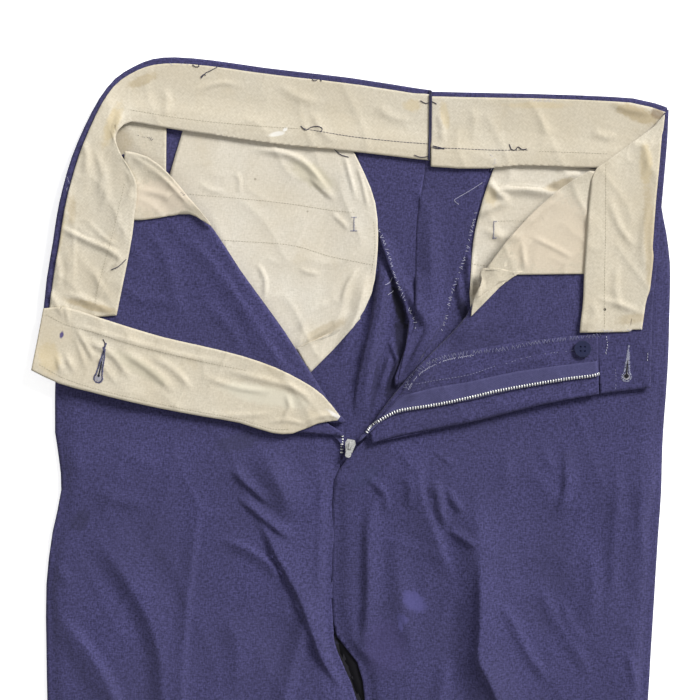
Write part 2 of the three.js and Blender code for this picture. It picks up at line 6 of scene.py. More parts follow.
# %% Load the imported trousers
import math
import bmesh
import bpy
import numpy as np
from mathutils import Matrix, Vector
from mathutils.bvhtree import BVHTree


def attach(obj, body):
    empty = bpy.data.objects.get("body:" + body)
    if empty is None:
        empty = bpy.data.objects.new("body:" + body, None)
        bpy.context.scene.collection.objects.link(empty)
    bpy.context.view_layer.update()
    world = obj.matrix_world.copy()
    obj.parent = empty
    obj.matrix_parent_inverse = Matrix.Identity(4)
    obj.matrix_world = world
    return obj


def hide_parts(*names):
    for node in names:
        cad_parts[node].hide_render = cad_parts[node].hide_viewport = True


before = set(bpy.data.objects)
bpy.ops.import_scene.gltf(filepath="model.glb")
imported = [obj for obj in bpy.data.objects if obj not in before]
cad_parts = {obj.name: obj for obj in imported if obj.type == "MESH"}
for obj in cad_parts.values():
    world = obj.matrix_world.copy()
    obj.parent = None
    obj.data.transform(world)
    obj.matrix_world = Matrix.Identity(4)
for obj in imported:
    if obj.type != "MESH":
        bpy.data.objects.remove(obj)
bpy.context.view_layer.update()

# %% [markdown]
# The pattern of the trousers was measured in millimetres on a sheet: x to the right from the
# middle of the fly, and down from the line of the waist. Two short helpers turn such a place
# into the frame's metres and back, so that every table below keeps the numbers of the sheet.

# %% The measuring sheet
MM = 0.001
SHEET_X = -1.153
SHEET_Y = 516.752


def place(x, down, z=0.0):
    return Vector(((x + SHEET_X) * MM, (SHEET_Y - down) * MM, z * MM))


def on_sheet(points):
    return points[:, 0] / MM - SHEET_X, SHEET_Y - points[:, 1] / MM


print("middle of the fly top:", tuple(round(v, 4) for v in place(0, 0)))

# %% [markdown]
# The camera looks straight down, as the photographer did from a stand. A long lens from two
# metres keeps the folded layers from leaning outwards. The field is 560 mm wide and its
# centre is at the seat, so the legs run out of the picture.

# %% Camera
FIELD = 0.560
FIELD_MIDDLE = (0, 232)
CAMERA_HEIGHT = 2.2
CLOTH_HEIGHT = 0.006
SENSOR = 36.0
camera_data = bpy.data.cameras.new("camera")
camera_data.sensor_width = SENSOR
camera_data.lens = SENSOR * (CAMERA_HEIGHT - CLOTH_HEIGHT) / FIELD
camera_data.clip_end = 20.0
camera = bpy.data.objects.new("camera", camera_data)
camera.location = place(*FIELD_MIDDLE, CAMERA_HEIGHT / MM)
bpy.context.scene.collection.objects.link(camera)
bpy.context.scene.camera = camera
print("lens:", round(camera_data.lens, 1))

# %% [markdown]
# Soft studio light: a white dome for the shadowless base, and one wide sun from the upper
# right that models the wrinkles. A dark cloth needs a low light to show its folds, so the sun
# stands only about thirty degrees up. A weaker one from the left keeps the shadows open.

# %% Light
DOME = 0.33
world = bpy.data.worlds.new("studio")
bpy.context.scene.world = world
world.use_nodes = True
world.node_tree.nodes["Background"].inputs["Color"].default_value = (1, 1, 1, 1)
world.node_tree.nodes["Background"].inputs["Strength"].default_value = DOME
bpy.context.scene.view_settings.view_transform = "Standard"


def sun(name, azimuth, elevation, strength, softness):
    data = bpy.data.lights.new(name, "SUN")
    data.energy = strength
    data.angle = math.radians(softness)
    lamp = bpy.data.objects.new(name, data)
    a = math.radians(azimuth)
    e = math.radians(elevation)
    towards = Vector((math.cos(a) * math.cos(e), math.sin(a) * math.cos(e), math.sin(e)))
    lamp.rotation_euler = towards.to_track_quat("Z", "Y").to_euler()
    bpy.context.scene.collection.objects.link(lamp)
    return lamp


key = sun("key_light", azimuth=44, elevation=32, strength=4.4, softness=24)
fill = sun("fill_light", azimuth=200, elevation=55, strength=0.35, softness=50)
print("lamps:", [(lamp.name, round(lamp.data.energy, 2)) for lamp in (key, fill)])

# %% [markdown]
# The floor is one plain pale sheet with a faint grain, lit a little from behind as a light
# table is, so the shadow beside the cloth stays pale.

# %% Floor
FLOOR_SIZE = 3
FLOOR_SINK = 0.0004
FLOOR_GLOW = 0.6
floor_mesh = bpy.data.meshes.new("floor")
corners = [(-1, -1), (1, -1), (1, 1), (-1, 1)]
floor_mesh.from_pydata([(x * FLOOR_SIZE, y * FLOOR_SIZE, 0) for x, y in corners], [], [(0, 1, 2, 3)])
floor = bpy.data.objects.new("floor", floor_mesh)
floor.location = (0, 0, -FLOOR_SINK)
bpy.context.scene.collection.objects.link(floor)
floor_material = bpy.data.materials.new("floor_paper")
floor_material.use_nodes = True
floor_nodes = floor_material.node_tree.nodes
floor_grain = floor_nodes.new("ShaderNodeTexNoise")
floor_grain.inputs["Scale"].default_value = 40
floor_ramp = floor_nodes.new("ShaderNodeValToRGB")
floor_ramp.color_ramp.elements[0].color = (0.93, 0.93, 0.93, 1)
floor_ramp.color_ramp.elements[1].color = (0.96, 0.96, 0.96, 1)
floor_links = floor_material.node_tree.links
floor_links.new(floor_grain.outputs["Fac"], floor_ramp.inputs["Fac"])
floor_shader = floor_nodes["Principled BSDF"]
floor_links.new(floor_ramp.outputs["Color"], floor_shader.inputs["Base Color"])
floor_shader.inputs["Roughness"].default_value = 0.9
floor_shader.inputs["Emission Color"].default_value = (1, 1, 1, 1)
floor_shader.inputs["Emission Strength"].default_value = FLOOR_GLOW
floor_mesh.materials.append(floor_material)
print("floor nodes:", [n.name for n in floor_nodes])

# %% [markdown]
# Wrinkles in tropical cloth are long soft ridges and troughs that start at a seam or a fold
# and die out. They could be simulated, but a simulation wouldn't put them where this pair has
# them. So each is a row in a table: its path on the sheet, its height and the reach to each
# side. A path is given by a few points, and a smooth curve is drawn through them first.


# %% A smooth path
def rounded(path, spacing=6.0):
    """A smooth curve through the points of a path, cut into short even steps."""
    p = np.array(path, float)
    p = np.vstack([2 * p[0] - p[1], p, 2 * p[-1] - p[-2]])
    out = []
    for i in range(1, len(p) - 2):
        steps = max(2, int(np.linalg.norm(p[i + 1] - p[i]) / spacing))
        for k in range(steps):
            t = k / steps
            out.append(0.5 * (2 * p[i] + (p[i + 1] - p[i - 1]) * t
                              + (2 * p[i - 1] - 5 * p[i] + 4 * p[i + 1] - p[i + 2]) * t ** 2
                              + (3 * p[i] - p[i - 1] - 3 * p[i + 1] + p[i + 2]) * t ** 3))
    out.append(p[-2])
    return np.array(out)


print("a path of 3 points becomes:", len(rounded([(0, 0), (30, 10), (60, 0)])), "points")

# %% [markdown]
# To know how high a ridge stands at some point, three things about that point are needed: how
# far it lies from the path, on which side, and how far along. They are found piece by piece,
# and the nearest piece wins.


# %% Where a point lies beside a path
def ease(a, b, v):
    """Goes softly from 0 at a to 1 at b."""
    t = np.clip((v - a) / (b - a), 0, 1)
    return t * t * (3 - 2 * t)


def beside(line, point):
    """The distance from a line, the side, and the share of the line that has gone by."""
    lengths = np.linalg.norm(np.diff(line, axis=0), axis=1)
    along = np.concatenate([[0], np.cumsum(lengths)])
    best = np.full(len(point), 1e9)
    side = np.zeros(len(point))
    travelled = np.zeros(len(point))
    for i, length in enumerate(lengths):
        step = line[i + 1] - line[i]
        offset = point - line[i]
        t = np.clip(offset @ step / length ** 2, 0, 1)
        gap = offset - t[:, None] * step
        distance = np.hypot(gap[:, 0], gap[:, 1])
        closer = distance < best
        best = np.where(closer, distance, best)
        turn = step[0] * offset[:, 1] - step[1] * offset[:, 0]
        side = np.where(closer, np.sign(turn), side)
        travelled = np.where(closer, along[i] + t * length, travelled)
    return best, side, travelled / along[-1]


probe = beside(np.array([(0.0, 0.0), (0.0, 10.0)]), np.array([(3.0, 5.0)]))
print("3 mm beside a line, halfway down:", [float(v[0]) for v in probe])

# %% [markdown]
# A ridge in pressed cloth has a crest that is sharper than a wave's and a foot that runs out
# softly, so its section mixes a pointed bell with a round one. It fades at both ends of its
# path. The reach differs to the left and the right, because a fold leans.

# %% One ridge
SHARPNESS = 0.65
CREST_POWER = 1.8


def crease(x, down, path, height, left, right, fade=0.3):
    """Lift of one ridge, with its own reach on the left and on the right of the picture."""
    line = rounded(path)
    low = line.min(0) - max(left, right)
    high = line.max(0) + max(left, right)
    raised = np.zeros(len(x))
    near = np.nonzero((x > low[0]) & (x < high[0]) & (down > low[1]) & (down < high[1]))[0]
    if not len(near):
        return raised
    distance, side, share = beside(line, np.stack([x[near], down[near]], 1))
    t = np.minimum(distance / np.where(side > 0, left, right), 1)
    pointed = SHARPNESS * (1 - t) ** CREST_POWER
    bell = pointed + (1 - SHARPNESS) * (0.5 + 0.5 * np.cos(np.pi * t))
    ends = ease(0, fade, share) * ease(0, fade, 1 - share)
    raised[near] = height * bell * ends
    return raised


foot = crease(np.array([0.0, 2.0, 4.0]), np.full(3, 20.0), [(0, 0), (0, 20), (0, 40)], 3, 6, 6)
print("a 3 mm ridge at 0, 2 and 4 mm from its crest:", foot.round(2))

# %% [markdown]
# Between the named creases real cloth is never quite flat. A smooth random field fills it
# with shallow waves. It is made from a small lattice of seeded numbers, so every run of the
# script gives the same cloth.

# %% Shallow waves
LATTICE = 64
lattice = np.random.default_rng(7).uniform(-1, 1, (LATTICE, LATTICE))


def waves(x, down, size_across, size_along, turn=0.0, shift=0.0):
    """A smooth field between -1 and 1, turned by some degrees and drawn out along one way."""
    c = math.cos(math.radians(turn))
    s = math.sin(math.radians(turn))
    u = (x * c + down * s) / size_across + shift
    v = (-x * s + down * c) / size_along + 1.7 * shift
    iu = np.floor(u).astype(int)
    iv = np.floor(v).astype(int)
    fu = u - iu
    fv = v - iv
    fu = fu * fu * fu * (fu * (fu * 6 - 15) + 10)
    fv = fv * fv * fv * (fv * (fv * 6 - 15) + 10)
    a = lattice[iu % LATTICE, iv % LATTICE]
    b = lattice[(iu + 1) % LATTICE, iv % LATTICE]
    c2 = lattice[iu % LATTICE, (iv + 1) % LATTICE]
    d = lattice[(iu + 1) % LATTICE, (iv + 1) % LATTICE]
    return (a * (1 - fu) + b * fu) * (1 - fv) + (c2 * (1 - fu) + d * fu) * fv


sample = np.linspace(0, 300, 61)
print("waves go from", waves(sample, sample, 30, 46).min().round(2), "to",
      waves(sample, sample, 30, 46).max().round(2))

# %% [markdown]
# Washed cloth that has been folded away also keeps short sharp creases. The same field gives
# them: where it passes through zero it is turned into a narrow ridge.


# %% Short sharp creases
def crumple(x, down, across, along, turn, shift, sharp=5):
    """Narrow crests where the waves pass through zero."""
    return (1 - np.abs(waves(x, down, across, along, turn, shift))) ** sharp


print("share of sharp crests:", (crumple(sample, sample, 34, 70, -24, 2) > 0.5).mean().round(2))

# %% [markdown]
# Between the turned-out fronts the seat is pushed together. Its folds run down from the waist
# and gather towards the fork, and the deepest one is the hollow beside the seat seam.

# %% Creases of the seat
SEAT_CREASES = [
    # path (x, down), height, reach to the picture's left, reach to its right
    ([(27, 150), (28, 170), (26, 190), (23, 207), (18, 230), (13, 258), (9, 288)], 3.4, 8, 10),
    ([(25.4, 150), (23.4, 172), (18.4, 204), (13.2, 227), (8.8, 246), (4.8, 268), (4.4, 294)],
     3.4, 2.4, 16),
    ([(29, 220), (36, 236), (37.4, 243), (32, 257), (27, 268)], 2.0, 2, 5),
    ([(86, 168), (87.4, 186), (90.4, 206)], 2.4, 2.4, 7),
    ([(14, 168), (8, 196), (-2, 222), (-12, 246)], 2.2, 9, 7),
    ([(40, 168), (48, 190), (60, 214), (52, 236), (40, 262)], 3.4, 4, 16),
    ([(66, 96), (64, 140), (66, 180), (66, 214), (56, 244), (36, 280)], 2.6, 15, 14),
    ([(96, 150), (95, 172), (97, 190)], 3.0, 5, 6),
    ([(80, 226), (64, 250), (42, 276)], 2.6, 6, 6),
    ([(34, 232), (28, 250), (22, 268)], 2.2, 5, 5),
    ([(54, 100), (58, 116), (66, 122)], 0.9, 5, 5),
    ([(-84, 70), (-50, 75), (-33, 85), (-21.7, 99), (-10, 112)], 1.5, 6, 4),
    ([(-34, 92), (-22, 104), (-11, 113)], 0.9, 3, 5),
    ([(-15, 122), (-7, 129), (-0.5, 136)], 0.9, 3, 3),
    ([(-75, 161), (-67.5, 176), (-69, 192)], 1.0, 4, 3),
    ([(7, 164), (-3, 181), (-7.5, 198)], 1.1, 3, 5),
    ([(-14, 190), (-30, 202), (-43, 218)], 0.9, 6, 5),
    ([(-42, 166), (-33, 170), (-23, 171)], 0.6, 3, 3),
    ([(-92, 88), (-88, 98), (-89, 108)], 0.6, 4, 3),
    ([(-5, 74), (0, 92), (5, 112)], 1.0, 4, 3),
    ([(5, 82), (10, 98), (15, 121)], 0.9, 3, 2.5),
    ([(-52, 236), (-34, 224), (-14, 212), (2, 196)], 1.8, 6, 8),
    ([(-122, 96), (-112, 104), (-98, 106)], 0.6, 4, 4),
    ([(110, 94), (119, 107), (130, 113)], 1.9, 6, 5),
    ([(112, 104), (130, 103), (150, 104), (172, 108)], 2.3, 8, 4),
    ([(100, 125), (116, 117), (130, 112)], 1.6, 6, 5),
    ([(160, 104), (174, 92), (188, 92)], 1.6, 8, 5),
    ([(104, 134), (124, 142), (140, 140)], 1.0, 7, 7),
    ([(98, 168), (104, 180), (100, 196)], 1.8, 4, 5),
    ([(-131, 36), (-120, 23), (-100, 18), (-84, 22)], 0.7, 4, 4),
    ([(-150, 20), (-146, 34), (-150, 48)], 0.8, 8, 6),
    ([(-60, 18), (-40, 30), (-20, 34)], 0.6, 7, 7),
    ([(-30, 40), (-24, 56), (-10, 66)], 0.7, 5, 6),
    ([(20, 34), (34, 46), (52, 48)], 0.7, 7, 7),
    ([(70, 40), (74, 56), (72, 68)], 1.0, 4, 5),
    ([(96, 34), (100, 52), (96, 68)], 0.5, 6, 7),
    ([(150, 40), (156, 56), (152, 74)], 0.5, 7, 6),
    ([(206, 34), (226, 40), (244, 42)], 1.0, 5, 9),
    ([(192, 56), (206, 62), (214, 56)], 0.9, 6, 6),
]
print("creases of the seat:", len(SEAT_CREASES))

# %% [markdown]
# The legs show two kinds of fold: the pressed crease down the middle of each leg, and the
# pulls that fan out from the fork and the pockets. Below the picture the same few folds
# repeat by a rule, a little to the left and right in turn.

# %% Creases of the legs
LEG_CREASES = [
    ([(-120, 330), (-122, 368), (-125, 393), (-129, 428), (-132, 464), (-134, 512),
      (-136, 600)], 1.7, 12, 5),
    ([(-214, 372), (-188, 402), (-166, 437), (-155, 464), (-150, 500), (-152, 560)], 3.6, 15, 30),
    ([(-236, 440), (-222, 456), (-206, 478), (-190, 506), (-180, 540)], 3.0, 22, 9),
    ([(-240, 396), (-232, 408), (-222, 420)], 1.2, 7, 5),
    ([(-72, 296), (-66, 320), (-52, 350), (-44, 372)], 3.6, 18, 26),
    ([(-98, 324), (-82, 340), (-62, 358)], 1.8, 3, 10),
    ([(-92, 348), (-68, 368), (-44, 386)], 1.9, 3, 10),
    ([(-77, 360), (-57, 400), (-44, 424), (-33, 450), (-22, 480), (-2, 510)], 3.6, 4, 24),
    ([(-11.5, 346), (-15, 358), (-17.5, 372)], 2.0, 3, 5),
    ([(-106, 382), (-82, 391), (-62, 406), (-56, 424)], 1.8, 10, 5),
    ([(-30, 420), (-36, 452), (-48, 492), (-56, 540)], 2.6, 14, 10),
    ([(-190, 300), (-172, 318), (-150, 326)], 1.1, 11, 12),
    ([(-236, 290), (-222, 310), (-214, 336)], 1.2, 10, 10),
    ([(-100, 440), (-90, 470), (-92, 510)], 1.3, 16, 14),
    ([(-206, 340), (-186, 352), (-160, 354)], 1.0, 10, 12),
    ([(-22, 330), (-20, 366), (-22, 410), (-24, 440)], 1.8, 9, 7),
    ([(97, 326), (101, 356), (103, 400), (104, 440), (102, 476), (108, 492), (118, 520),
      (124, 580)], 5.0, 24, 52),
    ([(68.8, 334), (72.4, 357), (77, 375)], 3.2, 11, 6),
    ([(77, 375), (88, 381), (102, 391)], 2.0, 5, 7),
    ([(102.7, 392), (102.9, 430), (102.6, 454), (101.4, 478), (107, 490), (117.4, 512),
      (124, 536)], 2.8, 3.5, 22),
    ([(60, 306), (56, 330), (58, 350), (72, 388), (82, 420)], 2.4, 22, 5),
    ([(66, 312), (74, 318), (83, 326)], 1.3, 3, 6),
    ([(76, 340), (82, 350), (90, 362)], 1.3, 3, 6),
    ([(44, 330), (48, 344), (46, 360)], 1.1, 6, 6),
    ([(168, 430), (176, 452), (190, 470)], 1.2, 5, 8),
    ([(76, 346), (82, 354), (90, 364)], 1.2, 4, 6),
    ([(152, 294), (157, 312), (162, 330)], 2.2, 12, 5),
    ([(176, 296), (172, 320), (172, 346), (162, 370)], 2.2, 5, 13),
    ([(114, 430), (128, 446), (142, 474), (164, 504)], 1.6, 8, 8),
    ([(150, 410), (160, 440), (182, 474), (196, 500)], 1.3, 11, 9),
    ([(221, 470), (226, 488), (230, 508)], 1.4, 6, 5),
    ([(12, 330), (20, 340), (30, 350)], 1.1, 4, 6),
    ([(22, 336), (28, 348), (30, 364)], 1.1, 5, 5),
    ([(16, 346), (14, 380), (14, 430), (10, 480)], 3.0, 6, 14),
    ([(40, 370), (38, 410), (44, 450), (54, 490)], 1.5, 12, 16),
    ([(80, 476), (74, 500), (68, 540)], 1.9, 12, 8),
    ([(210, 310), (214, 350), (210, 400), (214, 450)], 1.3, 10, 9),
    ([(190, 380), (194, 420), (190, 460)], 1.0, 10, 12),
    ([(234, 330), (232, 370), (236, 410)], 1.2, 8, 7),
    ([(30, 302), (44, 316), (50, 332)], 1.2, 6, 8),
    ([(120, 300), (126, 320), (124, 344)], 1.1, 9, 8),
]
for row in range(9):
    start = 600 + 48 * row
    sway = (-1) ** row
    LEG_CREASES += [
        ([(-140, start), (-142 + 3 * sway, start + 40), (-144, start + 86)], 2.0, 12, 6),
        ([(122, start), (126 - 3 * sway, start + 42), (130, start + 88)], 2.4, 7, 16),
        ([(-96, start + 4), (-76 + 9 * sway, start + 34), (-70, start + 62)], 2.0, 13, 15),
        ([(176, start - 6), (190 + 8 * sway, start + 26), (184, start + 58)], 2.0, 14, 13),
        ([(70, start + 20), (82 - 6 * sway, start + 52), (96, start + 70)], 1.8, 11, 12),
        ([(-206, start + 12), (-196 - 7 * sway, start + 44), (-188, start + 72)], 1.9, 12, 14),
    ]
print("creases of the legs:", len(LEG_CREASES))

# %% [markdown]
# The fronts and the cotton that lies on them are thin and were crushed when they were turned
# out. Their wrinkles are short, shallow and narrow, and most run along the fold or fan out
# from a corner that is sewn down.

# %% Creases of the turned-out fronts
FLAP_CREASES = [
    ([(-168, 132), (-150, 152), (-140, 186), (-136, 212)], 1.2, 14, 12),
    ([(-138, 130), (-112, 160), (-84, 198), (-58, 238), (-30, 262)], 1.6, 18, 6),
    ([(-190, 176), (-168, 190), (-130, 196)], 0.9, 10, 10),
    ([(-120, 190), (-96, 214), (-84, 236)], 1.0, 10, 10),
    ([(-234, 132), (-210, 144), (-178, 157)], 2.0, 7, 3.5),
    ([(-204, 70), (-198, 92), (-202, 116)], 1.0, 6, 8),
    ([(-236, 150), (-232, 172), (-236, 188)], 1.1, 4, 5),
    ([(-196, 152), (-182, 160), (-192, 168)], 1.2, 4, 4),
    ([(-243, 180), (-234, 196), (-227, 208)], 1.4, 5, 6),
    ([(-230, 186), (-208, 193), (-186, 204)], 1.5, 7, 6),
    ([(-214, 62), (-210, 78), (-212, 96)], 1.4, 7, 7),
    ([(-176, 8), (-181, 36), (-188, 66)], 2.0, 8, 7),
    ([(-196, 84), (-194, 104), (-198, 124)], 0.9, 7, 8),
    ([(-222, 96), (-226, 116), (-232, 128)], 1.1, 7, 6),
    ([(-226, 146), (-224, 168), (-228, 184)], 0.9, 7, 8),
    ([(-206, 164), (-200, 180), (-204, 192)], 0.8, 7, 7),
    ([(-184, 72), (-174, 88), (-168, 110)], 1.4, 5, 7),
    ([(-186, 70), (-150, 94), (-122, 124)], 1.3, 7, 4),
    ([(-170, 104), (-150, 108), (-134, 118)], 1.0, 6, 6),
    ([(-243, 212), (-236, 230), (-229, 254)], 1.9, 4, 6),
    ([(-234, 219), (-226, 238), (-219, 252)], 1.7, 3.5, 6),
    ([(-222, 211), (-211, 228), (-203, 243)], 1.6, 3.5, 6),
    ([(-240, 202.5), (-226, 209), (-203, 216.5), (-166, 227), (-130, 236.5), (-80, 245.5)],
     1.0, 6, 3),
    ([(-224, 213), (-226, 200), (-232, 190)], 1.3, 3, 5),
    ([(-224, 214), (-216, 232), (-210, 250)], 1.0, 3, 6),
    ([(-204, 234), (-196, 246), (-184, 262)], 0.9, 4, 6),
    ([(-180, 86), (-174, 100), (-178, 118)], 0.9, 4, 5),
    ([(-222, 122), (-220, 150), (-221, 188)], 0.9, 5, 3),
    ([(-210, 128), (-196, 142), (-182, 150)], 0.8, 5, 3),
    ([(-216, 222), (-190, 236), (-174, 258)], 1.5, 5, 8),
    ([(-184, 232), (-160, 248), (-138, 268)], 1.5, 6, 9),
    ([(-160, 236), (-140, 248), (-124, 266)], 1.1, 7, 6),
    ([(-120, 252), (-90, 262), (-60, 266)], 1.0, 5, 5),
    ([(-106, 246), (-76, 254), (-46, 262), (-24, 276)], 1.0, 6, 6),
    ([(-112, 284), (-84, 284), (-60, 282)], 0.8, 6, 5),
    ([(-52, 266), (-48, 278), (-56, 290)], 1.2, 5, 6),
    ([(-66, 290), (-50, 288), (-34, 292)], 0.9, 4, 4),
    ([(-40, 292), (-20, 284), (4, 290)], 1.4, 7, 5),
    ([(120, 172), (104, 200), (84, 232)], 1.4, 8, 9),
    ([(180, 182), (150, 206), (122, 218)], 1.1, 10, 10),
    ([(150, 176), (134, 200), (106, 216)], 1.0, 9, 8),
    ([(192, 190), (196, 206), (186, 216)], 0.8, 8, 8),
    ([(60, 258), (100, 250), (150, 240), (190, 236)], 0.7, 5, 5),
    ([(40, 292), (90, 286), (150, 272), (210, 266)], 1.0, 7, 8),
    ([(137, 140), (138, 154), (140, 170)], 1.5, 5, 5),
    ([(143, 141), (162, 150), (180, 160)], 0.8, 4, 5),
    ([(184, 98), (166, 112), (146, 128), (126, 152), (108, 176)], 1.3, 5, 7),
    ([(206, 108), (214, 132), (228, 152)], 1.2, 6, 7),
    ([(230, 62), (238, 78), (234, 96)], 1.0, 6, 6),
    ([(214, 160), (212, 184), (218, 204)], 1.0, 8, 7),
    ([(240, 110), (234, 140), (236, 172)], 0.9, 7, 5),
    ([(194, 190), (216, 196), (236, 204)], 0.9, 6, 6),
    ([(222, 60), (232, 70), (246, 64)], 0.9, 6, 6),
    ([(228, 240), (236, 252), (240, 268)], 0.7, 7, 7),
]
print("creases of the fronts:", len(FLAP_CREASES))

# %% [markdown]
# The layers lie on each other, so no layer may be lifted through the next. Every point gets
# the lift of its own layer plus that of the layers under it: first what lies on the floor,
# then the upper side of the legs, then the turned-out fronts on top. The height of a point
# in the solids tells which layer it is in. The small hard parts stay where the solids have
# them, so the cloth is left calm around them.

# %% Lift of the layers
SEAT_DEPTH = 1.4
LEG_DEPTH = 1.55
FLAP_DEPTH = 1.15
FLAP_REACH = 0.78
LEGS_BEGIN = (296, 340)
LEG_LAYER = (2.2, 3.2)
FLAP_LAYER = (5.6, 8.0)
CALM = {"slider": (0, 309, 16, 34), "inner button": (185.6, 231.2, 9, 24),
        "waistband button": (-236, 222, 10, 26)}


def add_creases(field, x, down, rows, depth, reach=1.0):
    for path, height, left, right in rows:
        field = field + depth * crease(x, down, path, height, left * reach, right * reach)
    return field


def lift(x, down, z):
    """How far a point of the cloth at the height z is raised, in millimetres."""
    seat = 0.3 + 0.4 * waves(x, down, 30, 46, 18)
    seat = seat + 0.7 * crumple(x, down, 34, 70, -24, 2) + 0.35 * crumple(x, down, 15, 40, 31, 6)
    seat = add_creases(seat, x, down, SEAT_CREASES, SEAT_DEPTH)
    legs = 2.2 + 1.0 * waves(x, down, 60, 110, 14, 3) + 0.6 * waves(x, down, 24, 60, -24, 9)
    legs = legs + 1.3 * crumple(x, down, 62, 150, -30, 4) + 0.8 * crumple(x, down, 40, 90, 20, 8)
    legs = add_creases(legs, x, down, LEG_CREASES, LEG_DEPTH) * ease(*LEGS_BEGIN, down)
    flaps = 0.4 + 0.5 * waves(x, down, 34, 60, 35, 5)
    flaps = flaps + 0.6 * crumple(x, down, 30, 64, -38, 1) + 0.4 * crumple(x, down, 14, 36, 24, 7)
    flaps = add_creases(flaps, x, down, FLAP_CREASES, FLAP_DEPTH, FLAP_REACH)
    calm = np.ones(len(x))
    for cx, cd, inner, outer in CALM.values():
        calm = calm * ease(inner, outer, np.hypot(x - cx, down - cd))
    total = np.maximum(seat, 0) + np.maximum(legs, 0) * ease(*LEG_LAYER, z)
    return calm * (total + np.maximum(flaps, 0) * ease(*FLAP_LAYER, z))


middle_of_leg = lift(np.array([100.0]), np.array([420.0]), np.array([3.5]))
print("lift on the pressed crease of the left leg:", middle_of_leg.round(2), "mm")

# %% [markdown]
# Each cloth piece starts as a copy of its own solid, because the solid already has the cut,
# the folds and the layer it lies in. Three kinds of cloth are used: the navy tropical, the
# cream lining cotton and the tape of the zip. Each has a thickness of its own.

# %% The pieces and their thickness
THICKNESS = {"cloth": 1.2, "lining": 1.0, "tape": 0.9}
CLOTH_NODES = ["back_right", "back_left", "front_right", "front_left", "seat_outlet_right",
               "seat_outlet_left", "waistband_right", "waistband_back_left",
               "waistband_front_left", "fly_shield", "fly_facing"]
LINING_NODES = ["curtain_right", "curtain_back_left", "curtain_front_left",
                "hip_pocket_bag_right", "hip_pocket_bag_left", "side_pocket_bag_right",
                "side_pocket_bag_left", "fly_shield_lining"]
TAPE_NODES = ["zip_tape_right", "zip_tape_left"]
print("pieces of cloth:", len(CLOTH_NODES), "lining:", len(LINING_NODES), "tape:", len(TAPE_NODES))

# %% [markdown]
# A fold can only be as fine as the mesh under it. Faces that look up are cut until no edge is
# longer than FINE, or finer still in the fields of FINER, where the folds are sharpest. The
# underside and what lies hidden under the fronts stay coarse, which keeps the mesh small.

# %% How fine the cloth is cut
FINE = 2.8
COARSE = 10.0
HIDDEN_BELOW = {"back_right": 345, "back_left": 345}
BELOW_THE_PICTURE = 590
# left, right, top, bottom, longest edge
FINER = {"back_right": [(-14, 62, 130, 300, 1.7)], "back_left": [(60, 100, 150, 250, 1.8)],
         "front_right": [(-110, 0, 290, 520, 2.1)], "front_left": [(0, 130, 290, 520, 2.1)],
         "hip_pocket_bag_right": [(-100, 30, 50, 245, 1.9)],
         "curtain_right": [(-260, 70, -5, 260, 2.0)],
         "curtain_back_left": [(60, 262, 8, 110, 2.1)],
         "curtain_front_left": [(190, 262, 40, 240, 2.0)],
         "fly_shield_lining": [(-270, 20, 190, 315, 2.0)],
         "hip_pocket_bag_left": [(95, 200, 70, 215, 2.0)],
         "side_pocket_bag_left": [(95, 200, 90, 210, 2.0)],
         "side_pocket_bag_right": [(-190, -110, 70, 140, 2.0)]}
print("fields that are cut finer:", sum(len(fields) for fields in FINER.values()))

# %% [markdown]
# The solids keep a small gap at each seam, so that they never overlap. Sewn cloth has none.
# These lines say where the seams and the edges of the two big folds run. At a fold each
# point also says how far the cloth is drawn across and along to reach it.

# %% Lines of the seams and folds
SEAT_SEAM = [(60, 76), (56.5, 95), (54.6, 125), (54, 165), (53.6, 206), (37.5, 264), (11.5, 314),
             (-4.5, 340), (-13.5, 378), (-15, 424), (-12, 462)]
FRONT_SEAM = [(-10, 330), (-13, 352), (-13.6, 376), (-14.6, 424), (-13, 456)]
FORK = [(-12, 462), (-6, 478), (2, 496), (8, 514), (8, 560), (7, 600)]
WAIST_JOIN = [(64.6, 24), (64.5, 46), (64, 66), (63.6, 88)]
LEFT_FOLD = [(190.5, 97, 1.5, -8), (181, 103, -2.4, -6.8), (172, 109, -4.2, -5.6),
             (161, 118, -4.4, -5.2), (150, 128, -4.7, -4.9), (139, 139, -4.9, -4.5),
             (129, 151, -5.2, -4.2), (121, 161, -5.4, -3.6), (113.5, 172, -5.8, -3)]
RIGHT_FOLD = [(-181, 84, 1, -11), (-172, 84.5, 2.5, -9.4), (-165, 86, 4, -7.6),
              (-157, 90, 4.6, -6), (-150, 96, 4.8, -4.8), (-142, 104, 4.8, -4.5),
              (-135, 113, 4.8, -4.2), (-126, 122, 4.6, -4), (-117, 132, 3.6, -3)]
WAIST_EDGE = [(52, 24, 0, 0.9), (0, 15.5, 0, 1), (-68, 7.5, 0, 1), (-110, 1.5, 0, 1.1),
              (-140, -1, 0, 1.3), (-158, 0.5, 0.2, 1.6), (-172, 6.4, 0.8, 1.5),
              (-187, 16, 1.3, 1.3), (-199, 32, 1.7, 0.9), (-211, 55, 1.8, 0.4),
              (-221, 79, 1.8, 0.2), (-228, 103, 1.7, 0.2), (-233, 126, 1.6, 0),
              (-241, 175, 1.5, 0), (-244, 200, 1, 0)]
print("points on the seat seam:", len(SEAT_SEAM), "on the waist edge:", len(WAIST_EDGE))

# %% [markdown]
# Some edges don't lie flat on what is beneath. The free edges of the seat outlets curl up,
# and the folds of the side pocket bags stand like a roll. Each is a ridge of the same kind
# as the creases, but it lifts one piece only.

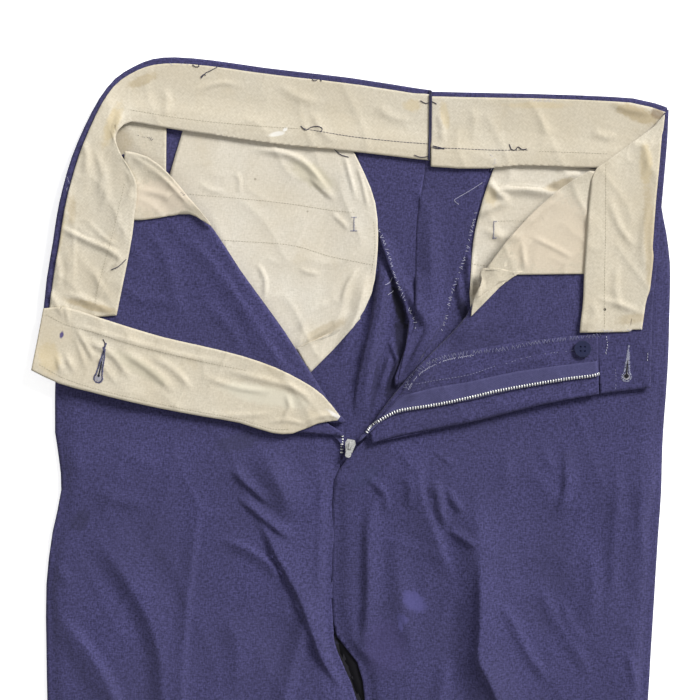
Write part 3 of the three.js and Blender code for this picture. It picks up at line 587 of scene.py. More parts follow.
# %% Edges that stand up
RAISES = {
    "seat_outlet_right": [([(24, 140), (34, 168), (44, 196), (51, 228)], 3.4, 16, 10)],
    "seat_outlet_left": [([(54, 170), (53.6, 205), (53, 228)], 2.6, 14, 18)],
    "side_pocket_bag_left": [([(204, 84), (190, 96), (172, 109), (150, 128), (129, 151),
                               (108, 178)], 2.4, 13, 13)],
    "side_pocket_bag_right": [([(-204, 80), (-184, 84), (-165, 86), (-150, 96), (-135, 113),
                                (-108, 139)], 2.6, 13, 13)],
}
print("raised edges:", len(RAISES))

# %% [markdown]
# A pull draws the cloth near a line towards it, most at the line and not at all beyond its
# reach. That closes the gaps at the seams, and lets a corner of a pocket bag run into its
# fold. The moves of all points of a pull are averaged, so the edge stays smooth.


# %% Pulls
def both_ways(path, push):
    """A row of pulls along a path, all by the same push across."""
    return [(x, down, push, 0) for x, down in path]


def even(path, spacing=6):
    """The path as even steps, so that a pull has no weak places."""
    line = rounded(path, spacing)
    return [tuple(p) for p in line]


def between(points, spacing=5):
    """The same row of pulls with more points in it, so that the edge stays smooth."""
    rows = np.array(points, float)
    if len(rows) < 2:
        return rows
    steps = np.hypot(np.diff(rows[:, 0]), np.diff(rows[:, 1]))
    along = np.concatenate([[0], np.cumsum(steps)])
    places = np.linspace(0, along[-1], int(along[-1] / spacing) + 2)
    return np.stack([np.interp(places, along, rows[:, i]) for i in range(4)], 1)


PULLS = {
    "back_right": [(9, both_ways(even(SEAT_SEAM), 0.9)), (18, both_ways(even(FORK), 5.2))],
    "back_left": [(9, both_ways(even(SEAT_SEAM), -0.9)), (18, both_ways(even(FORK), -5.2))],
    "seat_outlet_right": [(8, both_ways(even(SEAT_SEAM), 0.8)), (13, [(50.5, 223, -12.5, 38)])],
    "seat_outlet_left": [(8, both_ways(even(SEAT_SEAM), -1.7)),
                         (13, [(53.2, 224, -15, 38), (62, 223, -17, 33), (71, 222, -22, 28)])],
    "front_right": [(12, both_ways(even(FRONT_SEAM), 1.3))],
    "front_left": [(12, both_ways(even(FRONT_SEAM), -0.8))],
    "curtain_right": [(12, both_ways(even(WAIST_JOIN), 1.3)), (8, WAIST_EDGE)],
    "waistband_right": [(12, both_ways(even(WAIST_JOIN), 1.3))],
    "curtain_back_left": [(12, both_ways(even(WAIST_JOIN), -1.1))],
    "waistband_back_left": [(12, both_ways(even(WAIST_JOIN), -1.1))],
    "waistband_front_left": [(15, [(255, 45, 0, -5.5)])],
    "curtain_front_left": [(13, [(251, 47, 0.5, -4)]), (17, [(240, 198, -2, 0), (238, 218, -5, -2)]),
                           (8, [(250, 62, -1, 0), (247, 100, -1.2, 0), (244, 150, -1.2, 0)])],
    "side_pocket_bag_left": [(13, LEFT_FOLD)],
    "side_pocket_bag_right": [(13, RIGHT_FOLD)],
}
print("pulls:", sum(len(rows) for rows in PULLS.values()))

# %% [markdown]
# The waistband and its curtain meet the left side seam in a mitred corner, a slanting line
# that one pull can't follow. So they are pushed into it by their distance from the line.


# %% Closing the gaps
MITRE = (249.6, 38.4)
MITRE_FACING = (0.651, 0.759)
MITRE_PUSH = 12
MITRE_END = 254


def into_the_corner(x, down):
    inside = (x - MITRE[0]) * MITRE_FACING[0] + (down - MITRE[1]) * MITRE_FACING[1]
    push = MITRE_PUSH * ease(-40, -2, inside) * (1 - 0.3 * ease(60, 44, down))
    return np.minimum(push, np.maximum(MITRE_END - x, 0)), 0.1 * push


def closed_up(node, x, down):
    """Small moves that close up the places where two pieces meet."""
    across = np.zeros(len(x))
    along = np.zeros(len(x))
    if node in ("curtain_back_left", "waistband_back_left"):
        push_x, push_down = into_the_corner(x, down)
        across += push_x
        along += push_down
    for reach, points in PULLS.get(node, []):
        points = between(points)
        total = np.zeros(len(x))
        move_x = np.zeros(len(x))
        move_down = np.zeros(len(x))
        for px, pd, dx, dd in points:
            weight = 1 - ease(0, reach, np.hypot(x - px, down - pd))
            total += weight
            move_x += weight * dx
            move_down += weight * dd
        total = np.maximum(total, 1)
        across += move_x / total
        along += move_down / total
    return np.array([across, along])


moved = closed_up("back_right", np.array([54.0, 70.0]), np.array([165.0, 165.0]))
print("a point on the seat seam and one beyond it move across by", moved[0].round(2), "mm")

# %% [markdown]
# At three folds a sliver of cotton shows that is too thin and too hidden for the solids. It
# is made of one or two flat four-cornered patches of the same cloth. Each is given by its
# corners, going round, and the height of its middle.

# %% Extra plies
PLIES = {
    "side_pocket_bag_right": [((-200, 44), (-147.2, 52), (-147.6, 99), (-198, 92), 2.6)],
    "side_pocket_bag_left": [((98.4, 192), (103.4, 182), (112, 170), (138, 169), 9.9),
                             ((98.4, 192), (138, 169), (125, 176), (96.6, 205), 9.9)],
    "hip_pocket_bag_right": [((-43, 231), (-12, 220), (8, 203), (8, 207), 3.0),
                             ((-43, 231), (8, 207), (-16, 232), (-32, 249.5), 3.0)],
}


def add_ply(cut, corners, z, thickness):
    """A flat patch with a wall all round."""
    verts = [cut.verts.new(place(x, down, z + h)) for h in (-thickness / 2, thickness / 2)
             for x, down in corners]
    low = verts[:4]
    high = verts[4:]
    cut.faces.new(high[::-1])
    cut.faces.new(low)
    for i in range(4):
        j = (i + 1) % 4
        cut.faces.new((low[i], high[i], high[j], low[j]))


print("plies:", sum(len(rows) for rows in PLIES.values()))

# %% [markdown]
# The copy's loose triangles are merged and joined into four-sided faces first, because quads
# cut cleanly into smaller quads. Then every edge that is too long is cut in half, round after
# round, until all of them keep to the limits above.


# %% Cutting the cloth
MERGE_WITHIN = 1e-5
ROUNDS = 7


def longest_allowed(node, edge, hidden_below):
    """The limit for an edge, which is finer where it faces up and can be seen."""
    a, b = edge.verts
    facing_up = any(face.normal.z > 0.2 for face in edge.link_faces)
    if not facing_up or max(a.co.y, b.co.y) <= hidden_below:
        return COARSE
    limit = FINE
    spot = on_sheet(np.array([(a.co + b.co) / 2]))
    for left, right, top, bottom, finer in FINER.get(node, []):
        if left < spot[0][0] < right and top < spot[1][0] < bottom:
            limit = finer
    return limit


def cut_fine(node, thickness):
    """A copy of a solid's mesh with its plies, cut finer where the cloth shows."""
    cut = bmesh.new()
    cut.from_mesh(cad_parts[node].data)
    bmesh.ops.remove_doubles(cut, verts=cut.verts, dist=MERGE_WITHIN)
    bmesh.ops.join_triangles(cut, faces=cut.faces, angle_face_threshold=math.radians(30),
                             angle_shape_threshold=math.radians(70))
    for *corners, z in PLIES.get(node, []):
        add_ply(cut, corners, z, thickness)
    hidden_below = place(0, HIDDEN_BELOW.get(node, BELOW_THE_PICTURE)).y
    for _ in range(ROUNDS):
        cut.normal_update()
        long = []
        for edge in cut.edges:
            length = (edge.verts[0].co - edge.verts[1].co).length
            if length > longest_allowed(node, edge, hidden_below) * MM:
                long.append(edge)
        if not long:
            break
        bmesh.ops.subdivide_edges(cut, edges=long, cuts=1, use_grid_fill=True)
    many = [f for f in cut.faces if len(f.verts) > 4]
    bmesh.ops.triangulate(cut, faces=many)
    cut.verts.index_update()
    mesh = bpy.data.meshes.new(node + "_cloth")
    mesh.from_pydata([v.co for v in cut.verts], [], [[v.index for v in f.verts] for f in cut.faces])
    mesh.update()
    cut.free()
    return mesh


print("a solid before it is cut:", len(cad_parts["fly_facing"].data.polygons), "faces")

# %% [markdown]
# Now the points are moved: raised, pulled to their seams and lifted with the creases. A point
# gets the lift of the middle of the cloth under it, so both sides move as one and the cloth
# keeps its thickness. The rim is also pushed out by what the solids hold back at a seam.


# %% Cloth from the solids
SEAM_CLOSE = 0.3
RAISE_FADE = 0.12
RIM_STEEPNESS = 0.8
MOVED_ABOVE = {"side_pocket_bag_right": 6}


def laid_out(node, points, normals, thickness):
    """Where the points of a piece end up on the floor and on each other."""
    middle = points - normals * thickness / 2 * MM
    x, down = on_sheet(middle)
    outer = middle[:, 2] / MM > MOVED_ABOVE.get(node, -1)
    for path, height, left, right in RAISES.get(node, []):
        points[:, 2] += outer * crease(x, down, path, height, left, right, RAISE_FADE) * MM
    across, along = closed_up(node, x, down) * outer
    points[:, 2] += lift(x + across, down + along, middle[:, 2] / MM) * MM
    points[:, 0] += across * MM
    points[:, 1] -= along * MM
    rim = np.abs(normals[:, 2:]) < RIM_STEEPNESS
    points[:, :2] += normals[:, :2] * rim * SEAM_CLOSE * MM
    return points


def cloth(node, thickness):
    mesh = cut_fine(node, thickness)
    points = np.empty(len(mesh.vertices) * 3)
    normals = np.empty(len(mesh.vertices) * 3)
    mesh.vertices.foreach_get("co", points)
    mesh.vertices.foreach_get("normal", normals)
    points = laid_out(node, points.reshape(-1, 3), normals.reshape(-1, 3), thickness)
    mesh.vertices.foreach_set("co", points.reshape(-1))
    mesh.polygons.foreach_set("use_smooth", np.ones(len(mesh.polygons), bool))
    mesh.update()
    piece = bpy.data.objects.new(mesh.name, mesh)
    bpy.context.scene.collection.objects.link(piece)
    return piece


dressed = {}
for kind, nodes in (("cloth", CLOTH_NODES), ("lining", LINING_NODES), ("tape", TAPE_NODES)):
    for node in nodes:
        dressed[node] = cloth(node, THICKNESS[kind])
print("cloth faces:", {n: len(o.data.polygons) for n, o in dressed.items()})
print("all cloth faces:", sum(len(o.data.polygons) for o in dressed.values()))

# %% [markdown]
# Effects that several materials share are made once, as a node group. Three helpers build
# such a tree: one opens a group with named inputs and outputs, one adds a Math node, and one
# adds a noise that is drawn out along one direction.


# %% Helpers for shader trees
def group(name, inputs, outputs):
    tree = bpy.data.node_groups.new(name, "ShaderNodeTree")
    for title, kind, default in inputs:
        socket = tree.interface.new_socket(name=title, in_out="INPUT", socket_type=kind)
        if default is not None:
            socket.default_value = default
    for title, kind in outputs:
        tree.interface.new_socket(name=title, in_out="OUTPUT", socket_type=kind)
    return tree, tree.nodes.new("NodeGroupInput"), tree.nodes.new("NodeGroupOutput")


def maths(tree, operation, a, b=None, c=None):
    node = tree.nodes.new("ShaderNodeMath")
    node.operation = operation
    for socket, value in zip(node.inputs, (a, b, c)):
        if value is None:
            continue
        if isinstance(value, (int, float)):
            socket.default_value = value
        else:
            tree.links.new(value, socket)
    return node.outputs[0]


def stretched_noise(tree, coordinates, scale, across, along, detail=2.0, roughness=0.5):
    mapping = tree.nodes.new("ShaderNodeMapping")
    mapping.inputs["Scale"].default_value = (across, along, 1.0)
    noise = tree.nodes.new("ShaderNodeTexNoise")
    noise.inputs["Scale"].default_value = scale
    noise.inputs["Detail"].default_value = detail
    noise.inputs["Roughness"].default_value = roughness
    tree.links.new(coordinates, mapping.inputs["Vector"])
    tree.links.new(mapping.outputs["Vector"], noise.inputs["Vector"])
    return noise.outputs["Fac"]


print("node groups so far:", len(bpy.data.node_groups))

# %% [markdown]
# The cloth of the uniform is a plain weave of wool and polyester. Seen close, its threads are
# not one colour: paler and darker blue ones lie side by side both ways, which gives the fine
# streaks of a tropical. A node group makes that: two noises, each drawn out along one thread
# direction, and a third for the thick places in the yarn. The small over-and-under of the
# weave is added as height.

# %% Node group: threads of a plain weave
THREAD_WIDTH_SCALE = 900
THREAD_LENGTH_SCALE = 290
YARN_SHARES = {"warp": 0.34, "weft": 0.34, "slub": 0.32}
WEAVE_BUMPS = 0.3
weave, given, result = group(
    "woven_threads",
    [("Coordinates", "NodeSocketVector", None), ("Threads per metre", "NodeSocketFloat", 1700.0)],
    [("Streaks", "NodeSocketFloat"), ("Height", "NodeSocketFloat")])
warp = stretched_noise(weave, given.outputs["Coordinates"], 1.0, THREAD_WIDTH_SCALE,
                       THREAD_LENGTH_SCALE, 3)
weft = stretched_noise(weave, given.outputs["Coordinates"], 1.0, THREAD_LENGTH_SCALE,
                       THREAD_WIDTH_SCALE, 3)
slub = stretched_noise(weave, given.outputs["Coordinates"], 1.0, 620, 580, 3)
streaks = maths(weave, "ADD", maths(weave, "MULTIPLY", warp, YARN_SHARES["warp"]),
                maths(weave, "MULTIPLY", weft, YARN_SHARES["weft"]))
slubs = maths(weave, "MULTIPLY", slub, YARN_SHARES["slub"])
streaks = maths(weave, "ADD", streaks, slubs)
weave.links.new(streaks, result.inputs["Streaks"])
parts = weave.nodes.new("ShaderNodeSeparateXYZ")
weave.links.new(given.outputs["Coordinates"], parts.inputs[0])
turns = maths(weave, "MULTIPLY", given.outputs["Threads per metre"], math.pi)
over = maths(weave, "SINE", maths(weave, "MULTIPLY", parts.outputs[0], turns))
under = maths(weave, "SINE", maths(weave, "MULTIPLY", parts.outputs[1], turns))
bumps = maths(weave, "MULTIPLY", over, under)
height = maths(weave, "ADD", maths(weave, "MULTIPLY", bumps, WEAVE_BUMPS), streaks)
weave.links.new(height, result.inputs["Height"])
print("weave nodes:", len(weave.nodes))

# %% [markdown]
# Years of wear leave soft paler and darker areas. A second group gives two masks for them:
# broad clouds, and small spots for stains. Both are used by the uniform cloth and by the
# cotton linings, with other strengths.

# %% Node group: age
age, given, result = group(
    "age_of_cloth",
    [("Coordinates", "NodeSocketVector", None)],
    [("Clouds", "NodeSocketFloat"), ("Spots", "NodeSocketFloat")])
clouds = stretched_noise(age, given.outputs["Coordinates"], 14.0, 1, 1, 4, 0.6)
spots = stretched_noise(age, given.outputs["Coordinates"], 55.0, 1, 1, 3, 0.55)
spread = age.nodes.new("ShaderNodeMapRange")
spread.inputs["From Min"].default_value = 0.3
spread.inputs["From Max"].default_value = 0.7
age.links.new(clouds, spread.inputs["Value"])
age.links.new(spread.outputs["Result"], result.inputs["Clouds"])
rare = age.nodes.new("ShaderNodeMapRange")
rare.inputs["From Min"].default_value = 0.62
rare.inputs["From Max"].default_value = 0.74
age.links.new(spots, rare.inputs["Value"])
age.links.new(rare.outputs["Result"], result.inputs["Spots"])
print("age nodes:", len(age.nodes))

# %% [markdown]
# Colours are given as the eye reads them in a daylight picture, from 0 to 255. The shader
# wants linear values, so each is turned into them. A second helper mixes two colours by a
# mask in a material's tree.


# %% Colours for the shader
def linear(red, green, blue):
    values = []
    for v in (red, green, blue):
        v = v / 255
        values.append(v / 12.92 if v <= 0.04045 else ((v + 0.055) / 1.055) ** 2.4)
    return (*values, 1.0)


def mixed(tree, factor, a, b, blend="MIX"):
    node = tree.nodes.new("ShaderNodeMix")
    node.data_type = "RGBA"
    node.blend_type = blend
    for socket, value in ((node.inputs[0], factor), (node.inputs[6], a), (node.inputs[7], b)):
        if isinstance(value, (int, float, tuple)):
            socket.default_value = value
        else:
            tree.links.new(value, socket)
    return node.outputs[2]


print("a navy thread in linear values:", [round(v, 4) for v in linear(54, 52, 80)[:3]])

# %% [markdown]
# Old cloth carries marks: rust and sweat stains on the cotton, a rubbed patch on a leg. The
# same kind of mark also paints shade into deep folds and gaps. Each could be painted, but a few
# numbers do as well. A Mapping node of the kind TEXTURE turns an oval on the sheet into a
# circle, and the tint fades in by the distance from its middle. A little noise makes the edge
# ragged.


# %% Marks on the cloth
MARK_FULL = 0.55
MARK_GONE = 1.1


def stains_and_painted_shade(tree, colour, marks):
    """Lay soft-edged marks over a colour, stains and painted shade alike, each with its place,
    reach, turn and tint.
    """
    where = tree.nodes.new("ShaderNodeTexCoord")
    ragged = stretched_noise(tree, where.outputs["Object"], 260.0, 1, 1, 3, 0.6)
    ragged = maths(tree, "MULTIPLY", maths(tree, "SUBTRACT", ragged, 0.5), 0.9)
    for x, down, reach_x, reach_down, turn, tint, strength in marks:
        local = tree.nodes.new("ShaderNodeMapping")
        local.vector_type = "TEXTURE"
        local.inputs["Location"].default_value = place(x, down)
        local.inputs["Rotation"].default_value = (0, 0, math.radians(turn))
        local.inputs["Scale"].default_value = (reach_x * MM, reach_down * MM, 1)
        tree.links.new(where.outputs["Object"], local.inputs["Vector"])
        far = tree.nodes.new("ShaderNodeVectorMath")
        far.operation = "LENGTH"
        tree.links.new(local.outputs["Vector"], far.inputs[0])
        fade = tree.nodes.new("ShaderNodeMapRange")
        fade.interpolation_type = "SMOOTHSTEP"
        fade.inputs["From Min"].default_value = MARK_GONE
        fade.inputs["From Max"].default_value = MARK_FULL
        fade.inputs["To Max"].default_value = strength
        tree.links.new(maths(tree, "ADD", far.outputs["Value"], ragged), fade.inputs["Value"])
        colour = mixed(tree, fade.outputs["Result"], colour, linear(*tint))
    return colour


print("a mark has its full tint within", MARK_FULL, "of its reach, and is gone at", MARK_GONE)

# %% [markdown]
# One function makes a cloth material from its darkest and lightest thread colour, the colour
# it ages to and the direction of its grain, because each piece was cut with its grain along
# its own length. The two node groups give the threads and the wear, the marks come on top,
# and Sheen gives the soft pale edge that fibres have.


# %% One cloth material
CLOTH_ROUGHNESS = 0.86
CLOTH_SPECULAR = 0.25
SHEEN_ROUGHNESS = 0.5
THREAD_RELIEF = 0.0002
SPOT_SHARE = 0.45


def placed_group(tree, tree_of, vector):
    made = tree.nodes.new("ShaderNodeGroup")
    made.node_tree = tree_of
    tree.links.new(vector, made.inputs["Coordinates"])
    return made


def cloth_material(name, grain, marks, dark, pale, aged, threads, contrast, ageing, bump, sheen):
    material = bpy.data.materials.new(name)
    material.use_nodes = True
    tree = material.node_tree
    shader = tree.nodes["Principled BSDF"]
    where = tree.nodes.new("ShaderNodeTexCoord")
    turn = tree.nodes.new("ShaderNodeMapping")
    turn.inputs["Rotation"].default_value = (0, 0, math.radians(grain))
    tree.links.new(where.outputs["Object"], turn.inputs["Vector"])
    woven = placed_group(tree, weave, turn.outputs["Vector"])
    woven.inputs["Threads per metre"].default_value = threads
    worn = placed_group(tree, age, turn.outputs["Vector"])
    spread = tree.nodes.new("ShaderNodeMapRange")
    spread.inputs["From Min"].default_value = 0.5 - 0.5 / contrast
    spread.inputs["From Max"].default_value = 0.5 + 0.5 / contrast
    tree.links.new(woven.outputs["Streaks"], spread.inputs["Value"])
    colour = mixed(tree, spread.outputs["Result"], linear(*dark), linear(*pale))
    cloudy = maths(tree, "MULTIPLY", worn.outputs["Clouds"], ageing)
    colour = mixed(tree, cloudy, colour, linear(*aged))
    spotted = maths(tree, "MULTIPLY", worn.outputs["Spots"], ageing * SPOT_SHARE)
    colour = mixed(tree, spotted, colour, linear(*aged))
    colour = stains_and_painted_shade(tree, colour, marks)
    tree.links.new(colour, shader.inputs["Base Color"])
    relief = tree.nodes.new("ShaderNodeBump")
    relief.inputs["Strength"].default_value = bump
    relief.inputs["Distance"].default_value = THREAD_RELIEF
    tree.links.new(woven.outputs["Height"], relief.inputs["Height"])
    tree.links.new(relief.outputs["Normal"], shader.inputs["Normal"])
    shader.inputs["Roughness"].default_value = CLOTH_ROUGHNESS
    shader.inputs["Specular IOR Level"].default_value = CLOTH_SPECULAR
    shader.inputs["Sheen Weight"].default_value = sheen
    shader.inputs["Sheen Roughness"].default_value = SHEEN_ROUGHNESS
    return material


print("cloth roughness:", CLOTH_ROUGHNESS, "relief of a thread:", THREAD_RELIEF / MM, "mm")

# %% [markdown]
# Four cloths are dyed from it. Contrast sets how far the dark and pale threads stand apart,
# and it is high in the navy, where they are spun together. The cotton of the hip pocket bags
# has seen less light than that of the waistband, so it is a little paler.

# %% The four cloths
NAVY = {"dark": (39, 37, 70), "pale": (76, 73, 119), "aged": (54, 52, 80), "threads": 1700,
        "contrast": 4.8, "ageing": 0.35, "bump": 0.35, "sheen": 0.12}
COTTON = {"dark": (184, 175, 156), "pale": (218, 211, 195), "aged": (190, 174, 142),
          "threads": 1500, "contrast": 2.6, "ageing": 0.4, "bump": 0.25, "sheen": 0.05}
BAG_COTTON = {**COTTON, "dark": (196, 189, 173), "pale": (228, 222, 210)}
TAPE_WEAVE = {"dark": (52, 51, 86), "pale": (86, 84, 126), "aged": NAVY["aged"],
              "threads": 1100, "contrast": 1.6, "ageing": 0.2, "bump": 0.5, "sheen": 0.1}
TAPE_GRAIN = -11
GRAIN = {"back_right": 3, "back_left": -3, "front_right": 2, "front_left": -2,
         "seat_outlet_right": 12, "seat_outlet_left": -14, "waistband_right": 0,
         "waistband_back_left": 0, "waistband_front_left": 0, "fly_shield": 12,
         "fly_facing": -12, "curtain_right": 40, "curtain_back_left": 42,
         "curtain_front_left": 38, "hip_pocket_bag_right": 4, "hip_pocket_bag_left": -4,
         "side_pocket_bag_right": 10, "side_pocket_bag_left": -8, "fly_shield_lining": 11}
print("grain of the waistband curtain:", GRAIN["curtain_right"], "degrees, so it is cut on the bias")

# %% [markdown]
# The marks of this pair: a paler rubbed patch on the left leg, brown and yellow stains along
# the waistband and in the pocket bags, a brown band where the curtain dips under the fly
# shield lining, a brown patch in the mitred corner, and a few specks of ink and rust. Some rows
# are painted shade: a darker tint at the top of the right hip pocket bag and a darker stripe
# across the fly shield lining. The last rows are painted deep shade, near black, in the hollow
# beside the seat seam and between the legs, where the cloth folds under itself and a sheet of
# one height can't.

# %% Where the marks are
BROWN = (168, 148, 108)
YELLOW = (196, 178, 138)
MARKS = {
    # x, down, reach across, reach down, turn, tint, strength
    "front_left": [(51, 433, 13, 8, -40, (87, 84, 140), 0.55),
                   (42, 447, 6, 4, -40, (85, 82, 138), 0.45),
                   (40.5, 453, 2, 5, 10, (90, 88, 146), 0.5),
                   (28, 470, 20, 26, 0, (70, 62, 108), 0.3),
                   (12, 334, 16, 8, 30, (52, 56, 88), 0.3)],
    "front_right": [(-216, 368, 12, 8, 60, (36, 36, 54), 0.4),
                    (-90, 306, 20, 8, 10, (46, 46, 68), 0.4)],
    "curtain_right": [(-58.5, 59.2, 7.5, 2.2, 10, (232, 230, 224), 0.7),
                      (-52, 55.5, 2.5, 1.6, 40, (228, 226, 220), 0.9),
                      (-166, 16, 15, 5, 24, BROWN, 0.45), (-190, 52, 6, 20, -20, YELLOW, 0.6),
                      # (-206, 197) is a brown band where the curtain dips under the fly shield
                      # lining.
                      (-236, 140, 8, 34, -12, YELLOW, 0.5), (-206, 197, 26, 4, -14, BROWN, 0.5),
                      (-222, 74, 7, 22, -24, YELLOW, 0.45), (-20, 74, 34, 4, -6, YELLOW, 0.5),
                      (50, 36, 8, 6, 0, YELLOW, 0.5), (-222, 120, 4, 14, 0, BROWN, 0.3)],
    # The first two rows are brown in the mitred corner, darkest next to the seam.
    "curtain_back_left": [(230, 43, 22, 7, -20, BROWN, 0.6),
                          (247, 43, 8, 5, -30, (120, 98, 74), 0.6),
                          (76, 44, 4, 12, 10, YELLOW, 0.5), (150, 36, 30, 3, 0, YELLOW, 0.4)],
    "curtain_front_left": [(203.2, 199.7, 1.2, 1.2, 0, (38, 32, 28), 0.95),
                           (240, 150, 6, 60, 3, BROWN, 0.4), (226, 207, 16, 5, 8, BROWN, 0.35),
                           (236, 84, 6, 20, 0, YELLOW, 0.5)],
    "fly_shield_lining": [(-230, 220, 1.9, 3.4, -14, (62, 52, 116), 0.9),
                          (-196.4, 230.4, 1.4, 1.4, 0, (56, 50, 96), 0.85),
                          (-240, 238, 10, 16, 10, YELLOW, 0.5),
                          # Painted shade: the next row is a darker slanting stripe across the
                          # lining.
                          (-168, 246, 30, 7, -32, (178, 172, 150), 0.45),
                          (-9, 286, 12, 2, -36, (226, 228, 236), 0.4),
                          (-70, 268, 40, 9, -12, (214, 210, 192), 0.5)],
    # Painted shade: the first row is a soft darker tint at the top right of this bag.
    "hip_pocket_bag_right": [(-30, 92, 24, 10, -34, (186, 178, 150), 0.45),
                             (-20, 216, 22, 5, 26, BROWN, 0.35),
                             (-76, 95, 1.2, 1.2, 0, (120, 108, 84), 0.5),
                             (-34, 121, 1, 1, 0, (120, 108, 84), 0.5)],
    "hip_pocket_bag_left": [(168, 100, 15, 5, 16, BROWN, 0.5), (112, 108, 6, 10, 20, YELLOW, 0.5),
                            (104, 190, 8, 14, 24, BROWN, 0.35)],
    "side_pocket_bag_right": [(-186, 66, 14, 14, 20, BROWN, 0.35),
                              (-150, 110, 30, 16, 0, (222, 206, 186), 0.5)],
    "side_pocket_bag_left": [(160, 140, 40, 40, 0, (214, 198, 176), 0.5)],
}
# Painted shade: near-black tints on both backs, in the hollow beside the seat seam and in the gap
# between the legs.
for node in ("back_left", "back_right"):
    MARKS[node] = [(42, 226, 7, 28, 6, (24, 23, 42), 0.8),
                   (35, 256, 5, 20, -18, (24, 23, 44), 0.75),
                   (39.5, 197, 4.4, 24, 17, (13, 12, 22), 0.9),
                   (91, 201, 4.5, 12, 12, (20, 19, 36), 0.7),
                   (20, 262, 3, 26, -8, (28, 27, 50), 0.5),
                   (0, 489, 44, 17, -62, (7, 6, 11), 0.98),
                   (12, 560, 60, 14, -90, (7, 6, 11), 0.97)]
print("marks:", sum(len(marks) for marks in MARKS.values()))

# %% [markdown]
# Each piece gets a material of its own, because its grain and its marks are its own. Seen
# side by side the pieces then differ a little, as cut pieces of one cloth do.

# %% Dress the pieces
for node in CLOTH_NODES:
    material = cloth_material("navy_tropical_" + node, GRAIN[node], MARKS.get(node, ()), **NAVY)
    dressed[node].data.materials.append(material)
for node in LINING_NODES:
    cotton = BAG_COTTON if "hip_pocket" in node else COTTON
    material = cloth_material("cream_cotton_" + node, GRAIN[node], MARKS.get(node, ()), **cotton)
    dressed[node].data.materials.append(material)
for node in TAPE_NODES:
    material = cloth_material("zip_tape_weave_" + node, TAPE_GRAIN, (), **TAPE_WEAVE)
    dressed[node].data.materials.append(material)
print("materials:", len(bpy.data.materials))

# %% [markdown]
# The slider and its pull tab are pressed from white metal and worn bright on their edges. The
# buttons are moulded and dyed like the cloth. The solids already have their shape, so these
# nodes stay and only get a finish.


# %% Metal and button materials
WORN_BUMP = 0.2
WORN_RELIEF = 0.0001


def hard_material(name, dark, pale, metallic, rough_low, rough_high, scale):
    material = bpy.data.materials.new(name)
    material.use_nodes = True
    tree = material.node_tree
    shader = tree.nodes["Principled BSDF"]
    where = tree.nodes.new("ShaderNodeTexCoord")
    noise = stretched_noise(tree, where.outputs["Object"], scale, 1, 1, 4, 0.6)
    tree.links.new(mixed(tree, noise, linear(*dark), linear(*pale)), shader.inputs["Base Color"])
    rough = tree.nodes.new("ShaderNodeMapRange")
    rough.inputs["To Min"].default_value = rough_low
    rough.inputs["To Max"].default_value = rough_high
    tree.links.new(noise, rough.inputs["Value"])
    tree.links.new(rough.outputs["Result"], shader.inputs["Roughness"])
    relief = tree.nodes.new("ShaderNodeBump")
    relief.inputs["Strength"].default_value = WORN_BUMP
    relief.inputs["Distance"].default_value = WORN_RELIEF
    tree.links.new(noise, relief.inputs["Height"])
    tree.links.new(relief.outputs["Normal"], shader.inputs["Normal"])
    shader.inputs["Metallic"].default_value = metallic
    return material


zip_metal = hard_material("zip_white_metal", (150, 150, 150), (240, 240, 236), 0.45, 0.18, 0.4, 900)
button_plastic = hard_material("button_navy_plastic", (24, 28, 54), (44, 48, 82), 0.0, 0.1,
                               0.24, 500)
for node in ("zip_slider", "zip_pull_tab"):
    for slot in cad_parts[node].material_slots:
        slot.material = zip_metal
for node in ("inner_button", "waistband_button"):
    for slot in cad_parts[node].material_slots:
        slot.material = button_plastic
print("hard parts:", [len(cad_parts[n].material_slots) for n in ("zip_slider", "inner_button")])

# %% [markdown]
# Every cloth piece now stands for its solid, which is hidden, and rides on the body of the
# trousers.

# %% Hand the cloth to the frame
for node, piece in dressed.items():
    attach(piece, "trousers")
    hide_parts(node)

# %% [markdown]
# Stitches and zip teeth repeat along a path, which is what Geometry Nodes are good at. Two
# helpers keep the trees short to write: one opens a tree with named inputs, the other adds a
# node and either sets or links each of its sockets.


# %% Helpers for Geometry Nodes trees
def tree_with(name, inputs):
    tree = bpy.data.node_groups.new(name, "GeometryNodeTree")
    tree.interface.new_socket(name="Geometry", in_out="INPUT", socket_type="NodeSocketGeometry")
    for title, kind, default in inputs:
        socket = tree.interface.new_socket(name=title, in_out="INPUT", socket_type=kind)
        if default is not None:
            socket.default_value = default
    tree.interface.new_socket(name="Geometry", in_out="OUTPUT", socket_type="NodeSocketGeometry")
    return tree, tree.nodes.new("NodeGroupInput"), tree.nodes.new("NodeGroupOutput")


def add_node(tree, kind, settings=None, **sockets):
    made = tree.nodes.new(kind)
    for key, value in (settings or {}).items():
        setattr(made, key, value)
    for key, value in sockets.items():
        socket = made.inputs[key.replace("_", " ")]
        if isinstance(value, bpy.types.NodeSocket):
            tree.links.new(value, socket)
        else:
            socket.default_value = value
    return made


print("helpers:", tree_with.__name__, add_node.__name__)

# %% [markdown]
# Sewing is what makes the inside of the trousers: lockstitch rows, overlocked edges, bartacks
# and the purl of the buttonholes. All of it is one short thread that repeats along a path, so
# one tree makes it. A path laid on the cloth goes in, it is cut at an even pitch, and a small
# rounded thread is made for each point. The thread looks along the path.

